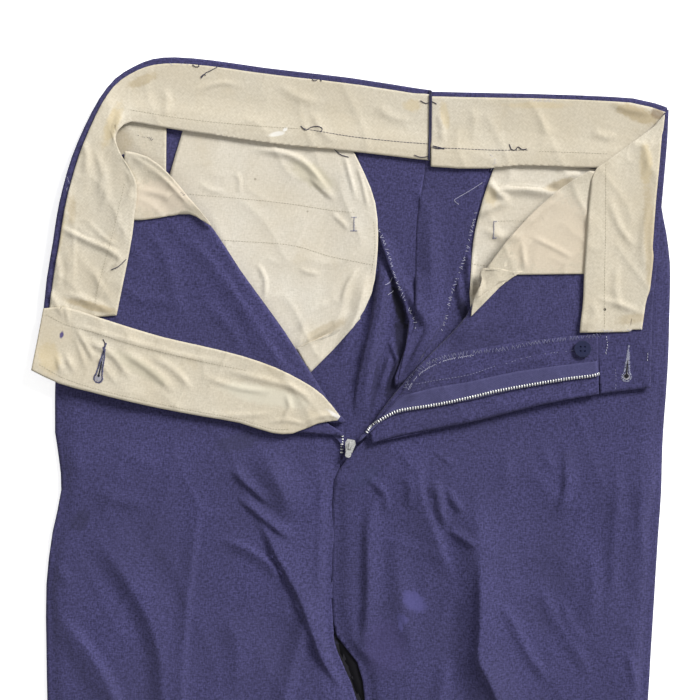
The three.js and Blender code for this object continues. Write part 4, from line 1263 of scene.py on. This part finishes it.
# %% Geometry Nodes: one thread on a path
thread_inputs = [
    ("Pitch", "NodeSocketFloat", 0.0024), ("Length", "NodeSocketFloat", 0.0017),
    ("Thickness", "NodeSocketFloat", 0.00045), ("Turn", "NodeSocketFloat", 0.0),
    ("Alternate", "NodeSocketFloat", 0.0), ("Jitter", "NodeSocketFloat", 0.06),
    ("Missing", "NodeSocketFloat", 0.0), ("Seed", "NodeSocketInt", 1),
    ("Material", "NodeSocketMaterial", None)]
threads, given, result = tree_with("threads_along_a_path", thread_inputs)
line = add_node(threads, "GeometryNodeMeshToCurve", Mesh=given.outputs["Geometry"])
evened = add_node(threads, "GeometryNodeResampleCurve", {"mode": "LENGTH"},
                  Curve=line.outputs[0], Length=given.outputs["Pitch"])
thread = add_node(threads, "GeometryNodeMeshUVSphere", None, Segments=6, Rings=5, Radius=0.5)
size = add_node(threads, "ShaderNodeCombineXYZ", None, X=given.outputs["Length"],
                Y=given.outputs["Thickness"], Z=given.outputs["Thickness"])
shaped = add_node(threads, "GeometryNodeTransform", None, Geometry=thread.outputs[0],
                  Scale=size.outputs[0])
tangent = add_node(threads, "GeometryNodeInputTangent")
aligned = add_node(threads, "FunctionNodeAlignRotationToVector", {"axis": "X"},
                   Vector=tangent.outputs[0])
print("nodes for one thread:", len(threads.nodes))

# %% [markdown]
# Turn and Alternate slant the threads, all one way or to both sides in turn, as an overlock
# does. Jitter makes them as uneven as worn work. The random number has a seed that is given,
# so every run sews the same.

# %% Geometry Nodes: slant and unevenness
index = add_node(threads, "GeometryNodeInputIndex")
odd = maths(threads, "MODULO", index.outputs[0], 2.0)
sign = maths(threads, "SUBTRACT", 1.0, maths(threads, "MULTIPLY", odd, 2.0))
swing = maths(threads, "MULTIPLY", given.outputs["Alternate"], sign)
chance = add_node(threads, "FunctionNodeRandomValue", {"data_type": "FLOAT"}, Min=-1.0, Max=1.0,
                  Seed=given.outputs["Seed"])
loose = maths(threads, "MULTIPLY", chance.outputs[1], given.outputs["Jitter"])
slant = maths(threads, "ADD", maths(threads, "ADD", given.outputs["Turn"], swing), loose)
slanted = add_node(threads, "ShaderNodeCombineXYZ", None, Z=slant)
turned = add_node(threads, "FunctionNodeRotateRotation", {"rotation_space": "LOCAL"},
                  Rotation=aligned.outputs[0])
to_rotation = add_node(threads, "FunctionNodeEulerToRotation", None, Euler=slanted.outputs[0])
threads.links.new(to_rotation.outputs[0], turned.inputs["Rotate By"])
longer = maths(threads, "ADD", 1.0, loose)
scaled = add_node(threads, "ShaderNodeCombineXYZ", None, X=longer, Y=1.0, Z=1.0)
print("nodes with the slant:", len(threads.nodes))

# %% [markdown]
# Missing leaves some threads out, as where a seam has frayed. The threads are then set on the
# points, made real and given their material, because the export drops instances.

# %% Geometry Nodes: gaps, and the finished row
draw = add_node(threads, "FunctionNodeRandomValue", {"data_type": "FLOAT"}, Min=0.0, Max=1.0,
                Seed=maths(threads, "ADD", given.outputs["Seed"], 17.0))
kept = add_node(threads, "FunctionNodeCompare", {"data_type": "FLOAT", "operation": "GREATER_EQUAL"})
threads.links.new(draw.outputs[1], kept.inputs[0])
threads.links.new(given.outputs["Missing"], kept.inputs[1])
placed = add_node(threads, "GeometryNodeInstanceOnPoints", None, Points=evened.outputs[0],
                  Instance=shaped.outputs[0], Rotation=turned.outputs[0], Scale=scaled.outputs[0])
threads.links.new(kept.outputs[0], placed.inputs["Selection"])
real = add_node(threads, "GeometryNodeRealizeInstances", None, Geometry=placed.outputs[0])
soft = add_node(threads, "GeometryNodeSetShadeSmooth", None, Geometry=real.outputs[0])
dyed = add_node(threads, "GeometryNodeSetMaterial", None, Geometry=soft.outputs[0],
                Material=given.outputs["Material"])
threads.links.new(dyed.outputs[0], result.inputs["Geometry"])
print("thread tree nodes:", len(threads.nodes))

# %% [markdown]
# A path is given on the measuring sheet. It has to lie on whatever cloth is on top there,
# creases and all. So a ray goes straight down and meets the highest of the named pieces. The
# search tree of a piece is built once, when it is first asked for.

# %% The height of the cloth at a point
RAY_FROM = 60
surfaces = {}


def surface(node):
    if node not in surfaces:
        piece = dressed.get(node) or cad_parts[node]
        mesh = piece.data
        surfaces[node] = BVHTree.FromPolygons([v.co for v in mesh.vertices],
                                              [p.vertices for p in mesh.polygons])
    return surfaces[node]


def top_of(x, down, nodes):
    """The height of the cloth, or None beside it."""
    best = None
    for name in nodes:
        hit = surface(name).ray_cast(place(x, down, RAY_FROM), Vector((0, 0, -1)))[0]
        if hit is not None and (best is None or hit.z > best):
            best = hit.z
    return best


print("cloth at the left hip:", round(top_of(180, 330, ["front_left"]) / MM, 2), "mm up")

# %% [markdown]
# The path is cut into short steps first, either as a smooth curve or with straight pieces for
# a bartack. Each step is then set down on the cloth, a hair above it.


# %% Lay a path on the cloth
def laid(path, nodes, above=0.1, spacing=2.0, straight=False):
    """The points of a path, each set down on the highest of the named pieces."""
    points = np.array(path, float) if straight else rounded(path, spacing)
    if straight:
        fine = []
        for a, b in zip(points, points[1:]):
            steps = max(1, int(np.linalg.norm(b - a) / spacing))
            fine += [a + (b - a) * k / steps for k in range(steps)]
        points = np.array(fine + [points[-1]])
    out = []
    last = None
    for x, down in points:
        height = top_of(x, down, nodes)
        last = height if height is not None else last
        if last is not None:
            out.append(place(x, down, last / MM + above))
    return out


print("points of a 20 mm path:", len(laid([(180, 330), (200, 330)], ["front_left"])))

# %% [markdown]
# A tree runs as a modifier on an object whose mesh is only the paths. Its inputs are set by
# the sockets' identifiers before it is first evaluated. The result is kept as a plain mesh
# and the carrier is thrown away, so nothing live is left for the export.


# %% Run a tree on paths
def path_object(name, paths):
    verts = []
    edges = []
    for points in paths:
        start = len(verts)
        verts += points
        edges += [(start + i, start + i + 1) for i in range(len(points) - 1)]
    mesh = bpy.data.meshes.new(name + "_path")
    mesh.from_pydata(verts, edges, [])
    carrier = bpy.data.objects.new(name + "_path", mesh)
    bpy.context.scene.collection.objects.link(carrier)
    return carrier


def made_by(tree, name, paths, slot, **settings):
    """Run a tree on some paths and keep the result as one plain mesh."""
    carrier = path_object(name, paths)
    modifier = carrier.modifiers.new("nodes", "NODES")
    modifier.node_group = tree
    sockets = {i.name: i.identifier for i in tree.interface.items_tree
               if i.item_type == "SOCKET" and i.in_out == "INPUT"}
    for key, value in settings.items():
        modifier[sockets[key]] = value
    bpy.context.view_layer.update()
    graph = bpy.context.evaluated_depsgraph_get()
    mesh = bpy.data.meshes.new_from_object(carrier.evaluated_get(graph))
    mesh.name = name
    bpy.data.objects.remove(carrier)
    piece = bpy.data.objects.new(name, mesh)
    bpy.context.scene.collection.objects.link(piece)
    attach(piece, "trousers")
    print(name, "faces:", len(mesh.polygons))
    return piece


print("tree to run:", threads.name)

# %% [markdown]
# Threads are duller than metal but smoother than the cloth. Cream closes the linings, navy
# the uniform cloth, and white and grey-blue are what the overlock and the bartacks show.


# %% Threads
def thread_material(name, dark, pale):
    return hard_material(name, dark, pale, metallic=0.0, rough_low=0.6, rough_high=0.85,
                         scale=1800)


cream_thread = thread_material("thread_cream", (132, 124, 104), (184, 176, 152))
navy_thread = thread_material("thread_navy", (26, 25, 46), (52, 50, 84))
white_thread = thread_material("thread_white", (150, 150, 176), (214, 214, 228))
grey_thread = thread_material("thread_grey_blue", (98, 100, 128), (150, 150, 176))
print("threads:", [m.name for m in (cream_thread, navy_thread, white_thread, grey_thread)])

# %% [markdown]
# The linings are closed with long rows of lockstitch. Seen from above each stitch is a small
# dash in a dimple. The rows follow the free edge of the waistband curtain, the folds of the
# pocket bags and the edges of the fly shield.

# %% Lockstitch rows
CREAM_ROWS = [
    ([(-175, 40), (-132, 47), (-84, 52), (-38, 55)], ["curtain_right"]),
    ([(152, 73), (182, 74), (205, 75)], ["curtain_back_left"]),
    ([(-180, 100), (-189, 138), (-201, 182), (-203, 195)], ["curtain_right"]),
    ([(204, 84), (204, 130), (203, 180), (203, 213)], ["curtain_front_left"]),
    ([(-132, 107), (-84, 111), (-48, 115), (-16, 120), (3, 122)], ["hip_pocket_bag_right"]),
    ([(-102, 144), (-48, 148), (-16, 157), (18, 164)], ["hip_pocket_bag_right"]),
    ([(117, 129), (130, 128.5), (146, 129)], ["hip_pocket_bag_left"]),
    ([(98, 163), (104, 164), (112, 165)], ["hip_pocket_bag_left"]),
    ([(19, 130), (20, 150), (17, 170)], ["hip_pocket_bag_right"]),
    ([(-242, 204), (-226, 212), (-204, 218), (-176, 227), (-153, 233), (-136, 237),
      (-110, 243), (-84, 248)], ["fly_shield_lining", "curtain_right"]),
    ([(-247, 244), (-229, 254), (-204, 262.6), (-176, 269.6), (-149, 275.6), (-119, 281.6),
      (-88, 287.2), (-64, 294.6), (-50, 295.4)], ["fly_shield_lining"]),
]
ALL_LININGS = ["curtain_right", "curtain_back_left", "curtain_front_left", "fly_shield_lining",
               "hip_pocket_bag_right", "hip_pocket_bag_left"]
made_by(threads, "lockstitch_cream", [laid(path, nodes, 0.05) for path, nodes in CREAM_ROWS],
        "cream_cotton", Pitch=0.0022, Length=0.0015, Thickness=0.0005, Jitter=0.1, Seed=3,
        Material=cream_thread)
NAVY_ROWS = [
    [(-36, 55), (0, 61), (36, 65), (62, 67)],
    [(66, 70), (90, 71), (116, 72), (141, 72)],
]
made_by(threads, "lockstitch_navy", [laid(path, ALL_LININGS, 0.05) for path in NAVY_ROWS],
        "navy_cloth", Pitch=0.0026, Length=0.0027, Thickness=0.00055, Jitter=0.05, Seed=4,
        Material=navy_thread)
FACING_ROWS = [
    ([(53, 259), (70, 256), (94, 252), (115, 245)], 0.0),
    ([(120, 244), (150, 236), (192, 231)], 0.55),
    ([(212, 248), (212.5, 256), (212, 265)], 0.2),
]
FACING = ["fly_facing", "front_left", "waistband_front_left", "zip_tape_left"]
for number, (path, missing) in enumerate(FACING_ROWS):
    made_by(threads, "facing_stitches_" + str(number), [laid(path, FACING, 0.05)],
            "navy_cloth", Pitch=0.0024, Length=0.0018, Thickness=0.00045, Jitter=0.1,
            Missing=missing, Seed=6 + number, Material=grey_thread)

# %% [markdown]
# Raw edges are overlocked with white thread. New, it is an even lace of loops. Here it has
# frayed, so most of what shows is short slanted ends. The same tree makes it, with the
# threads turned across the edge, swung to both sides and some of them missing.

# %% Overlocked edges
SEAT = ["seat_outlet_right", "seat_outlet_left", "back_right", "back_left"]
OUTLET_EDGES = [
    [(23, 136), (28, 148), (32, 160), (35.5, 172), (41, 186), (47, 199), (52.5, 211), (53, 219)],
    [(101, 121), (96.5, 139), (94, 151), (89.5, 165), (84.5, 178), (80.5, 190), (77, 205),
     (73, 217)],
]
made_by(threads, "outlet_overlock", [laid(path, SEAT, 0.15) for path in OUTLET_EDGES],
        "cream_cotton", Pitch=0.0013, Length=0.0031, Thickness=0.00038, Turn=1.35,
        Alternate=0.45, Jitter=0.45, Missing=0.45, Seed=11, Material=white_thread)
FACING_EDGE = [(44, 262), (52, 250), (64, 242), (78, 237), (98, 234), (124, 231), (149, 226),
               (184, 222), (200, 220)]
made_by(threads, "facing_overlock", [laid(FACING_EDGE, FACING, 0.1)], "cream_cotton",
        Pitch=0.0013, Length=0.0042, Thickness=0.00036, Turn=1.5, Alternate=0.35, Jitter=0.3,
        Missing=0.3, Seed=12, Material=grey_thread)
FACING_LOOPS = [(46, 264.5), (54, 252.5), (66, 244.5), (79, 239.5), (98, 236.3)]
made_by(threads, "facing_overlock_loops", [laid(FACING_LOOPS, FACING, 0.1)], "cream_cotton",
        Pitch=0.0016, Length=0.0026, Thickness=0.0004, Turn=0.6, Alternate=0.3, Jitter=0.3,
        Missing=0.15, Seed=13, Material=white_thread)
CURTAIN_TOP = [
    ([(-143, 3.2), (-137, 3.0), (-130, 3.4)], ["curtain_right", "waistband_right"]),
    ([(-226, 94), (-224, 99), (-226, 104)], ["curtain_right", "waistband_right"]),
    ([(140, 31), (152, 32), (166, 32.4)], ["curtain_back_left", "waistband_back_left"]),
    ([(110, 74), (116, 80), (113, 88)], ["curtain_back_left", "back_left"]),
    ([(196, 216), (214, 217), (232, 215)], ["curtain_front_left", "front_left"]),
    ([(36, 83), (43, 85), (52, 83)], ["curtain_right", "back_right"]),
]
made_by(threads, "frayed_ends_white", [laid(path, nodes, 0.15) for path, nodes in CURTAIN_TOP],
        "cream_cotton", Pitch=0.0016, Length=0.0026, Thickness=0.0003, Turn=0.9,
        Alternate=0.8, Jitter=0.8, Missing=0.3, Seed=14, Material=white_thread)

# %% [markdown]
# Bartacks lock the ends of the pocket openings: a bar of close stitches with a short bar at
# each end, in grey-blue thread. White tacks hold the end of the waistband.

# %% Bartacks and tacks
BARS = [
    [(3.2, 125.6), (3.2, 136.5)], [(1.2, 125.8), (5.2, 125.8)], [(0.4, 136.6), (5.4, 136.6)],
    [(115.2, 129.2), (115.0, 142.6)], [(115.2, 129.2), (117.6, 129.2)],
    [(114.2, 142.6), (117.2, 142.2)],
]
made_by(threads, "bartacks", [laid(path, ALL_LININGS, 0.1, 1.0, True) for path in BARS],
        "cream_cotton", Pitch=0.0006, Length=0.0013, Thickness=0.0004, Turn=1.45,
        Alternate=0.3, Jitter=0.25, Seed=15, Material=grey_thread)
WHITE_TACKS = [[(204.8, 221.6), (205.6, 228), (204.4, 234.4)], [(237.8, 233), (237.4, 240)]]
made_by(threads, "waistband_tacks", [laid(path, FACING, 0.1) for path in WHITE_TACKS],
        "cream_cotton", Pitch=0.0021, Length=0.0016, Thickness=0.0006, Jitter=0.5,
        Missing=0.12, Seed=16, Material=white_thread)
DARK_TACKS = [[(-169.5, 60.2), (-165, 61.6), (-161, 62), (-157.4, 64.4)],
              [(-134.6, 106.6), (-132.4, 108.4)]]
made_by(threads, "pocket_marks", [laid(path, ["side_pocket_bag_right", "back_right",
                                              "hip_pocket_bag_right"], 0.15)
                                  for path in DARK_TACKS],
        "navy_cloth", Pitch=0.0012, Length=0.0019, Thickness=0.00045, Turn=0.8, Jitter=0.9,
        Missing=0.2, Seed=17, Material=navy_thread)

# %% [markdown]
# A keyhole buttonhole is a slit with a round eye at the button's end. Purl stitches stand
# side by side right round it. The path goes down one side, round the eye and back up, and the
# tree sets the stitches across it.

# %% The path round a keyhole
EYE_POINTS = 12
NECK = 0.9
NECK_WIDTH = 1.75
TOP_WIDTH = 0.3
THREAD_TAIL = 5


def directions(top, eye):
    """The two ends as arrays, the direction down the hole and the one across it."""
    top = np.array(top, float)
    eye = np.array(eye, float)
    down = (eye - top) / np.linalg.norm(eye - top)
    return top, eye, down, np.array([-down[1], down[0]])


def keyhole(top, eye, narrow, eye_radius):
    top, eye, down, side = directions(top, eye)
    neck = eye - down * eye_radius * NECK
    path = [top - side * narrow * TOP_WIDTH, (top + neck) / 2 - side * narrow,
            neck - side * narrow * NECK_WIDTH]
    first = math.atan2(-narrow * NECK_WIDTH, -eye_radius * NECK)
    turn = 2 * math.pi + 2 * (math.pi - abs(first)) * -1
    for k in range(1, EYE_POINTS):
        angle = first + turn * k / EYE_POINTS
        path.append(eye + down * math.cos(angle) * eye_radius + side * math.sin(angle) * eye_radius)
    path += [neck + side * narrow * NECK_WIDTH, (top + neck) / 2 + side * narrow,
             top + side * narrow * TOP_WIDTH, top - down * THREAD_TAIL]
    return path


LEFT_HOLE = ((-195.6, 231.5), (-200.8, 254.6))
RIGHT_HOLE = ((222.3, 233.6), (220.8, 253.4))
print("points round the left keyhole:", len(keyhole(*LEFT_HOLE, 1.4, 3.4)))

# %% [markdown]
# Inside the stitches lies a strip of pale interlining, and on it a near-black sheet that paints
# the shade inside the slit. Both are flat keyholes of the same kind, three points wide so that
# the middle can stand a little higher, and each gets a hair of thickness, because a single face
# has no back.

# %% A flat keyhole
SLIT_ROWS = 16
SLIT_END = 0.02
SLIT_MIDDLE = 0.22
SLIT_EDGE = 0.04
SLIT_WALL = 0.00012


def half_widths(top, eye, width, eye_radius):
    """The middle of each row of a flat keyhole and its half width."""
    top, eye, down, side = directions(top, eye)
    length = np.linalg.norm(eye - top)
    rows = []
    for k in range(SLIT_ROWS + 1):
        t = k / SLIT_ROWS * (length + eye_radius)
        near = (t - length) / eye_radius
        w = width if near < -1 else max(width, eye_radius * math.sqrt(max(0.0, 1 - near * near)))
        w = w * min(1.0, 4 * k / SLIT_ROWS) if k < SLIT_ROWS else SLIT_END
        rows.append((top + down * t, w))
    return rows, side


def slit(name, top, eye, width, eye_radius, nodes, material):
    """A flat keyhole, laid just over the cloth."""
    rows, side = half_widths(top, eye, width, eye_radius)
    verts = []
    faces = []
    for centre, w in rows:
        for s in (-1, 0, 1):
            p = centre + side * w * s
            height = top_of(p[0], p[1], nodes) / MM
            verts.append(place(p[0], p[1], height + (SLIT_MIDDLE if s == 0 else SLIT_EDGE)))
    for i in range(len(rows) - 1):
        for j in range(2):
            a = i * 3 + j
            faces.append((a, a + 3, a + 4, a + 1))
    mesh = bpy.data.meshes.new(name)
    mesh.from_pydata(verts, [], faces)
    shape = bmesh.new()
    shape.from_mesh(mesh)
    bmesh.ops.solidify(shape, geom=shape.faces[:], thickness=SLIT_WALL)
    bmesh.ops.recalc_face_normals(shape, faces=shape.faces)
    shape.to_mesh(mesh)
    shape.free()
    mesh.materials.append(material)
    piece = bpy.data.objects.new(name, mesh)
    bpy.context.scene.collection.objects.link(piece)
    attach(piece, "trousers")
    print(name, "faces:", len(mesh.polygons))
    return piece


print("rows of a flat keyhole:", SLIT_ROWS + 1)

# %% [markdown]
# One buttonhole is in the end of the fly shield, sewn in navy through the cotton. The other is
# in the left end of the waistband and has frayed to grey. The sheet of painted shade in each
# slit is moved up by a third of a millimetre, clear of its pad.

# %% Keyhole buttonholes
# Painted shade: a near-black material stands for the dark inside each slit.
slit_painted_shade = hard_material("slit_shadow", (8, 8, 14), (20, 19, 32), 0.0, 0.9, 1.0, 700)
slit_lining = hard_material("slit_interlining", (120, 118, 128), (178, 176, 184), 0.0, 0.8,
                            0.95, 1500)
purl_navy = thread_material("thread_purl_navy", (44, 44, 76), (92, 94, 138))
LEFT_ON = ["fly_shield_lining", "fly_shield"]
RIGHT_ON = ["waistband_front_left", "front_left"]
OVER_THE_PAD = Matrix.Translation((0, 0, 0.0003))
made_by(threads, "buttonhole_purl_right", [laid(keyhole(*LEFT_HOLE, 1.4, 3.4), LEFT_ON, 0.1, 1.0)],
        "navy_cloth", Pitch=0.00062, Length=0.0019, Thickness=0.0006, Turn=1.57,
        Jitter=0.22, Seed=21, Material=purl_navy)
purl_grey = thread_material("thread_purl_grey", (120, 122, 150), (188, 190, 208))
made_by(threads, "buttonhole_purl_left", [laid(keyhole(*RIGHT_HOLE, 1.2, 3.7), RIGHT_ON, 0.1, 1.0)],
        "cream_cotton", Pitch=0.00062, Length=0.0017, Thickness=0.00052, Turn=1.57,
        Jitter=0.3, Missing=0.1, Seed=22, Material=purl_grey)
slit("buttonhole_pad_right", (-196.4, 235), LEFT_HOLE[1], 0.9, 2.5, LEFT_ON, slit_lining)
slit_right = slit("buttonhole_slit_right", (-197, 238), (-200.4, 252.6), 0.45, 1.1,
                  ["fly_shield_lining"], slit_painted_shade)
slit_right.data.transform(OVER_THE_PAD)
slit("buttonhole_pad_left", (222.1, 236), RIGHT_HOLE[1], 0.7, 2.7, RIGHT_ON, slit_lining)
slit_left = slit("buttonhole_slit_left", (221.9, 240), (220.8, 252.8), 0.5, 1.9, RIGHT_ON,
                 slit_painted_shade)
slit_left.data.transform(OVER_THE_PAD)

# %% [markdown]
# The zip has pressed metal teeth. Each is a small pillow clamped on the edge of the tape. A
# second tree sets them on a path, from a cube with one level of subdivision, so a tooth has
# two dozen faces. A small random wobble keeps the row from looking drawn with a ruler.

# %% Geometry Nodes: zip teeth
teeth_tree, given, result = tree_with("zip_teeth", [
    ("Pitch", "NodeSocketFloat", 0.0024), ("Across", "NodeSocketFloat", 0.004),
    ("Along", "NodeSocketFloat", 0.0014), ("High", "NodeSocketFloat", 0.0014),
    ("Lean", "NodeSocketFloat", 0.0), ("Seed", "NodeSocketInt", 1),
    ("Material", "NodeSocketMaterial", None)])
line = add_node(teeth_tree, "GeometryNodeMeshToCurve", Mesh=given.outputs["Geometry"])
evened = add_node(teeth_tree, "GeometryNodeResampleCurve", {"mode": "LENGTH"},
                  Curve=line.outputs[0], Length=given.outputs["Pitch"])
size = add_node(teeth_tree, "ShaderNodeCombineXYZ", None, X=given.outputs["Along"],
                Y=given.outputs["Across"], Z=given.outputs["High"])
block = add_node(teeth_tree, "GeometryNodeMeshCube", None, Size=size.outputs[0])
pillow = add_node(teeth_tree, "GeometryNodeSubdivisionSurface", None, Mesh=block.outputs[0],
                  Level=1, Edge_Crease=0.55)
tangent = add_node(teeth_tree, "GeometryNodeInputTangent")
aligned = add_node(teeth_tree, "FunctionNodeAlignRotationToVector", {"axis": "X"},
                   Vector=tangent.outputs[0])
wobble = add_node(teeth_tree, "FunctionNodeRandomValue", {"data_type": "FLOAT"}, Min=-0.09, Max=0.09,
                  Seed=given.outputs["Seed"])
tilt = add_node(teeth_tree, "ShaderNodeCombineXYZ", None, X=wobble.outputs[1],
                Z=maths(teeth_tree, "ADD", given.outputs["Lean"], wobble.outputs[1]))
turned = add_node(teeth_tree, "FunctionNodeRotateRotation", {"rotation_space": "LOCAL"},
                  Rotation=aligned.outputs[0])
to_rotation = add_node(teeth_tree, "FunctionNodeEulerToRotation", None, Euler=tilt.outputs[0])
teeth_tree.links.new(to_rotation.outputs[0], turned.inputs["Rotate By"])
placed = add_node(teeth_tree, "GeometryNodeInstanceOnPoints", None, Points=evened.outputs[0],
                  Instance=pillow.outputs[0], Rotation=turned.outputs[0])
real = add_node(teeth_tree, "GeometryNodeRealizeInstances", None, Geometry=placed.outputs[0])
soft = add_node(teeth_tree, "GeometryNodeSetShadeSmooth", None, Geometry=real.outputs[0])
plated = add_node(teeth_tree, "GeometryNodeSetMaterial", None, Geometry=soft.outputs[0],
                  Material=given.outputs["Material"])
teeth_tree.links.new(plated.outputs[0], result.inputs["Geometry"])
print("tooth tree nodes:", len(teeth_tree.nodes))

# %% [markdown]
# Most of one row of teeth shows on the turned-out front, in a long bend down to the fork. Of
# the other row only a short column is seen above the slider.

# %% Zip teeth
tooth_metal = hard_material("tooth_metal", (186, 186, 184), (246, 246, 244), 0.6, 0.3, 0.5, 1200)
LONG_ROW = [(13.5, 297.5), (17, 293), (24, 288), (32, 283.4), (41, 280), (69, 275.6), (97, 269.6),
            (119, 264.4), (150, 258.8), (173, 255), (193, 252.6), (200, 250.4)]
TAPES = ["zip_tape_left", "front_left", "fly_facing"]
made_by(teeth_tree, "zip_teeth_left", [laid(LONG_ROW, TAPES, 0.4)], "zip_metal",
        Pitch=0.0021, Across=0.0028, Along=0.00125, High=0.0013, Seed=31, Material=tooth_metal)
SHORT_ROW = [(-6.2, 301), (-6.4, 307), (-6.7, 314)]
made_by(teeth_tree, "zip_teeth_right", [laid(SHORT_ROW, ["front_left", "front_right",
                                                         "zip_tape_right"], 0.5)], "zip_metal",
        Pitch=0.0022, Across=0.0027, Along=0.0012, High=0.0012, Seed=32, Material=tooth_metal)

# %% [markdown]
# Ends of navy thread hang from the seams where they were never trimmed, and a white one has
# come loose over the seat. Two thicker threads side by side mark the join of the waistband at
# the centre back. Their paths are given first.

# %% Paths of loose threads
ENDS_NAVY = [
    [(-126, 3.4), (-123.6, 5.2), (-120.6, 4.6), (-123, 2.8)],
    [(-119.4, 14.6), (-116, 10.4), (-111.6, 8.2), (-105, 4.6)],
    [(-119.8, 13.6), (-117.4, 11.4), (-115.4, 11.8)],
    [(-32.4, 14.2), (-28, 16.4), (-25.4, 15.2), (-22.6, 16.6)],
    [(-39.4, 52.6), (-35.4, 56), (-31, 53.6), (-26, 53), (-22.2, 54.8), (-23.4, 57.6)],
    [(-12.6, 71.4), (-7.4, 75.6), (-1, 77.6)],
    [(56.4, 32.2), (61, 34.4), (66, 33.2), (69.4, 35)],
    [(51.4, 76), (56.6, 77.8), (62.8, 77.2)],
    [(66.4, 68.6), (70.6, 69.6), (75.4, 71)],
    [(66.6, 70), (71, 70.8), (75.8, 70.2)],
    [(127.6, 67.2), (129.2, 71.4), (132.6, 71.8), (134.4, 69.4), (138, 71.6), (141.4, 71)],
    [(-190.6, 168.2), (-184.6, 165.4), (-178.4, 159.6)],
    [(-195.8, 230), (-195.4, 226.6), (-196.8, 223.4)],
]
ENDS_WHITE = [[(106, 98), (96, 104.4), (86, 110.2), (83.6, 112.4), (87, 115.4)],
              [(28, 180), (31.6, 178), (34, 173.6)], [(30.4, 188), (34.8, 184.6)]]
JOIN = [[(63.9, 22), (63.8, 45), (63.4, 66), (63, 80)],
        [(65, 22), (64.9, 45), (64.5, 66), (64.1, 84)]]
print("loose ends:", len(ENDS_NAVY) + len(ENDS_WHITE))

# %% [markdown]
# Each is a short curve that lies on the cloth in a loop of its own. A curve's bevel gives it a
# round section, and the curve is then turned into a mesh, as the threads of a row were.


# %% Loose thread ends
def thread_ends(name, paths, radius, material):
    curve = bpy.data.curves.new(name, "CURVE")
    curve.dimensions = "3D"
    curve.bevel_depth = radius * MM
    curve.bevel_resolution = 1
    for path in paths:
        points = laid(path, list(dressed), radius + 0.1, 1.0)
        spline = curve.splines.new("POLY")
        spline.points.add(len(points) - 1)
        for target, point in zip(spline.points, points):
            target.co = (*point, 1)
    carrier = bpy.data.objects.new(name + "_path", curve)
    bpy.context.scene.collection.objects.link(carrier)
    mesh = bpy.data.meshes.new_from_object(carrier)
    bpy.data.objects.remove(carrier)
    mesh.name = name
    mesh.materials.clear()
    mesh.materials.append(material)
    mesh.polygons.foreach_set("use_smooth", np.ones(len(mesh.polygons), bool))
    piece = bpy.data.objects.new(name, mesh)
    bpy.context.scene.collection.objects.link(piece)
    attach(piece, "trousers")
    print(name, "faces:", len(mesh.polygons))


thread_ends("centre_back_join", JOIN, 0.65, navy_thread)
thread_ends("loose_threads_navy", ENDS_NAVY, 0.3, navy_thread)
thread_ends("loose_threads_white", ENDS_WHITE, 0.16, white_thread)
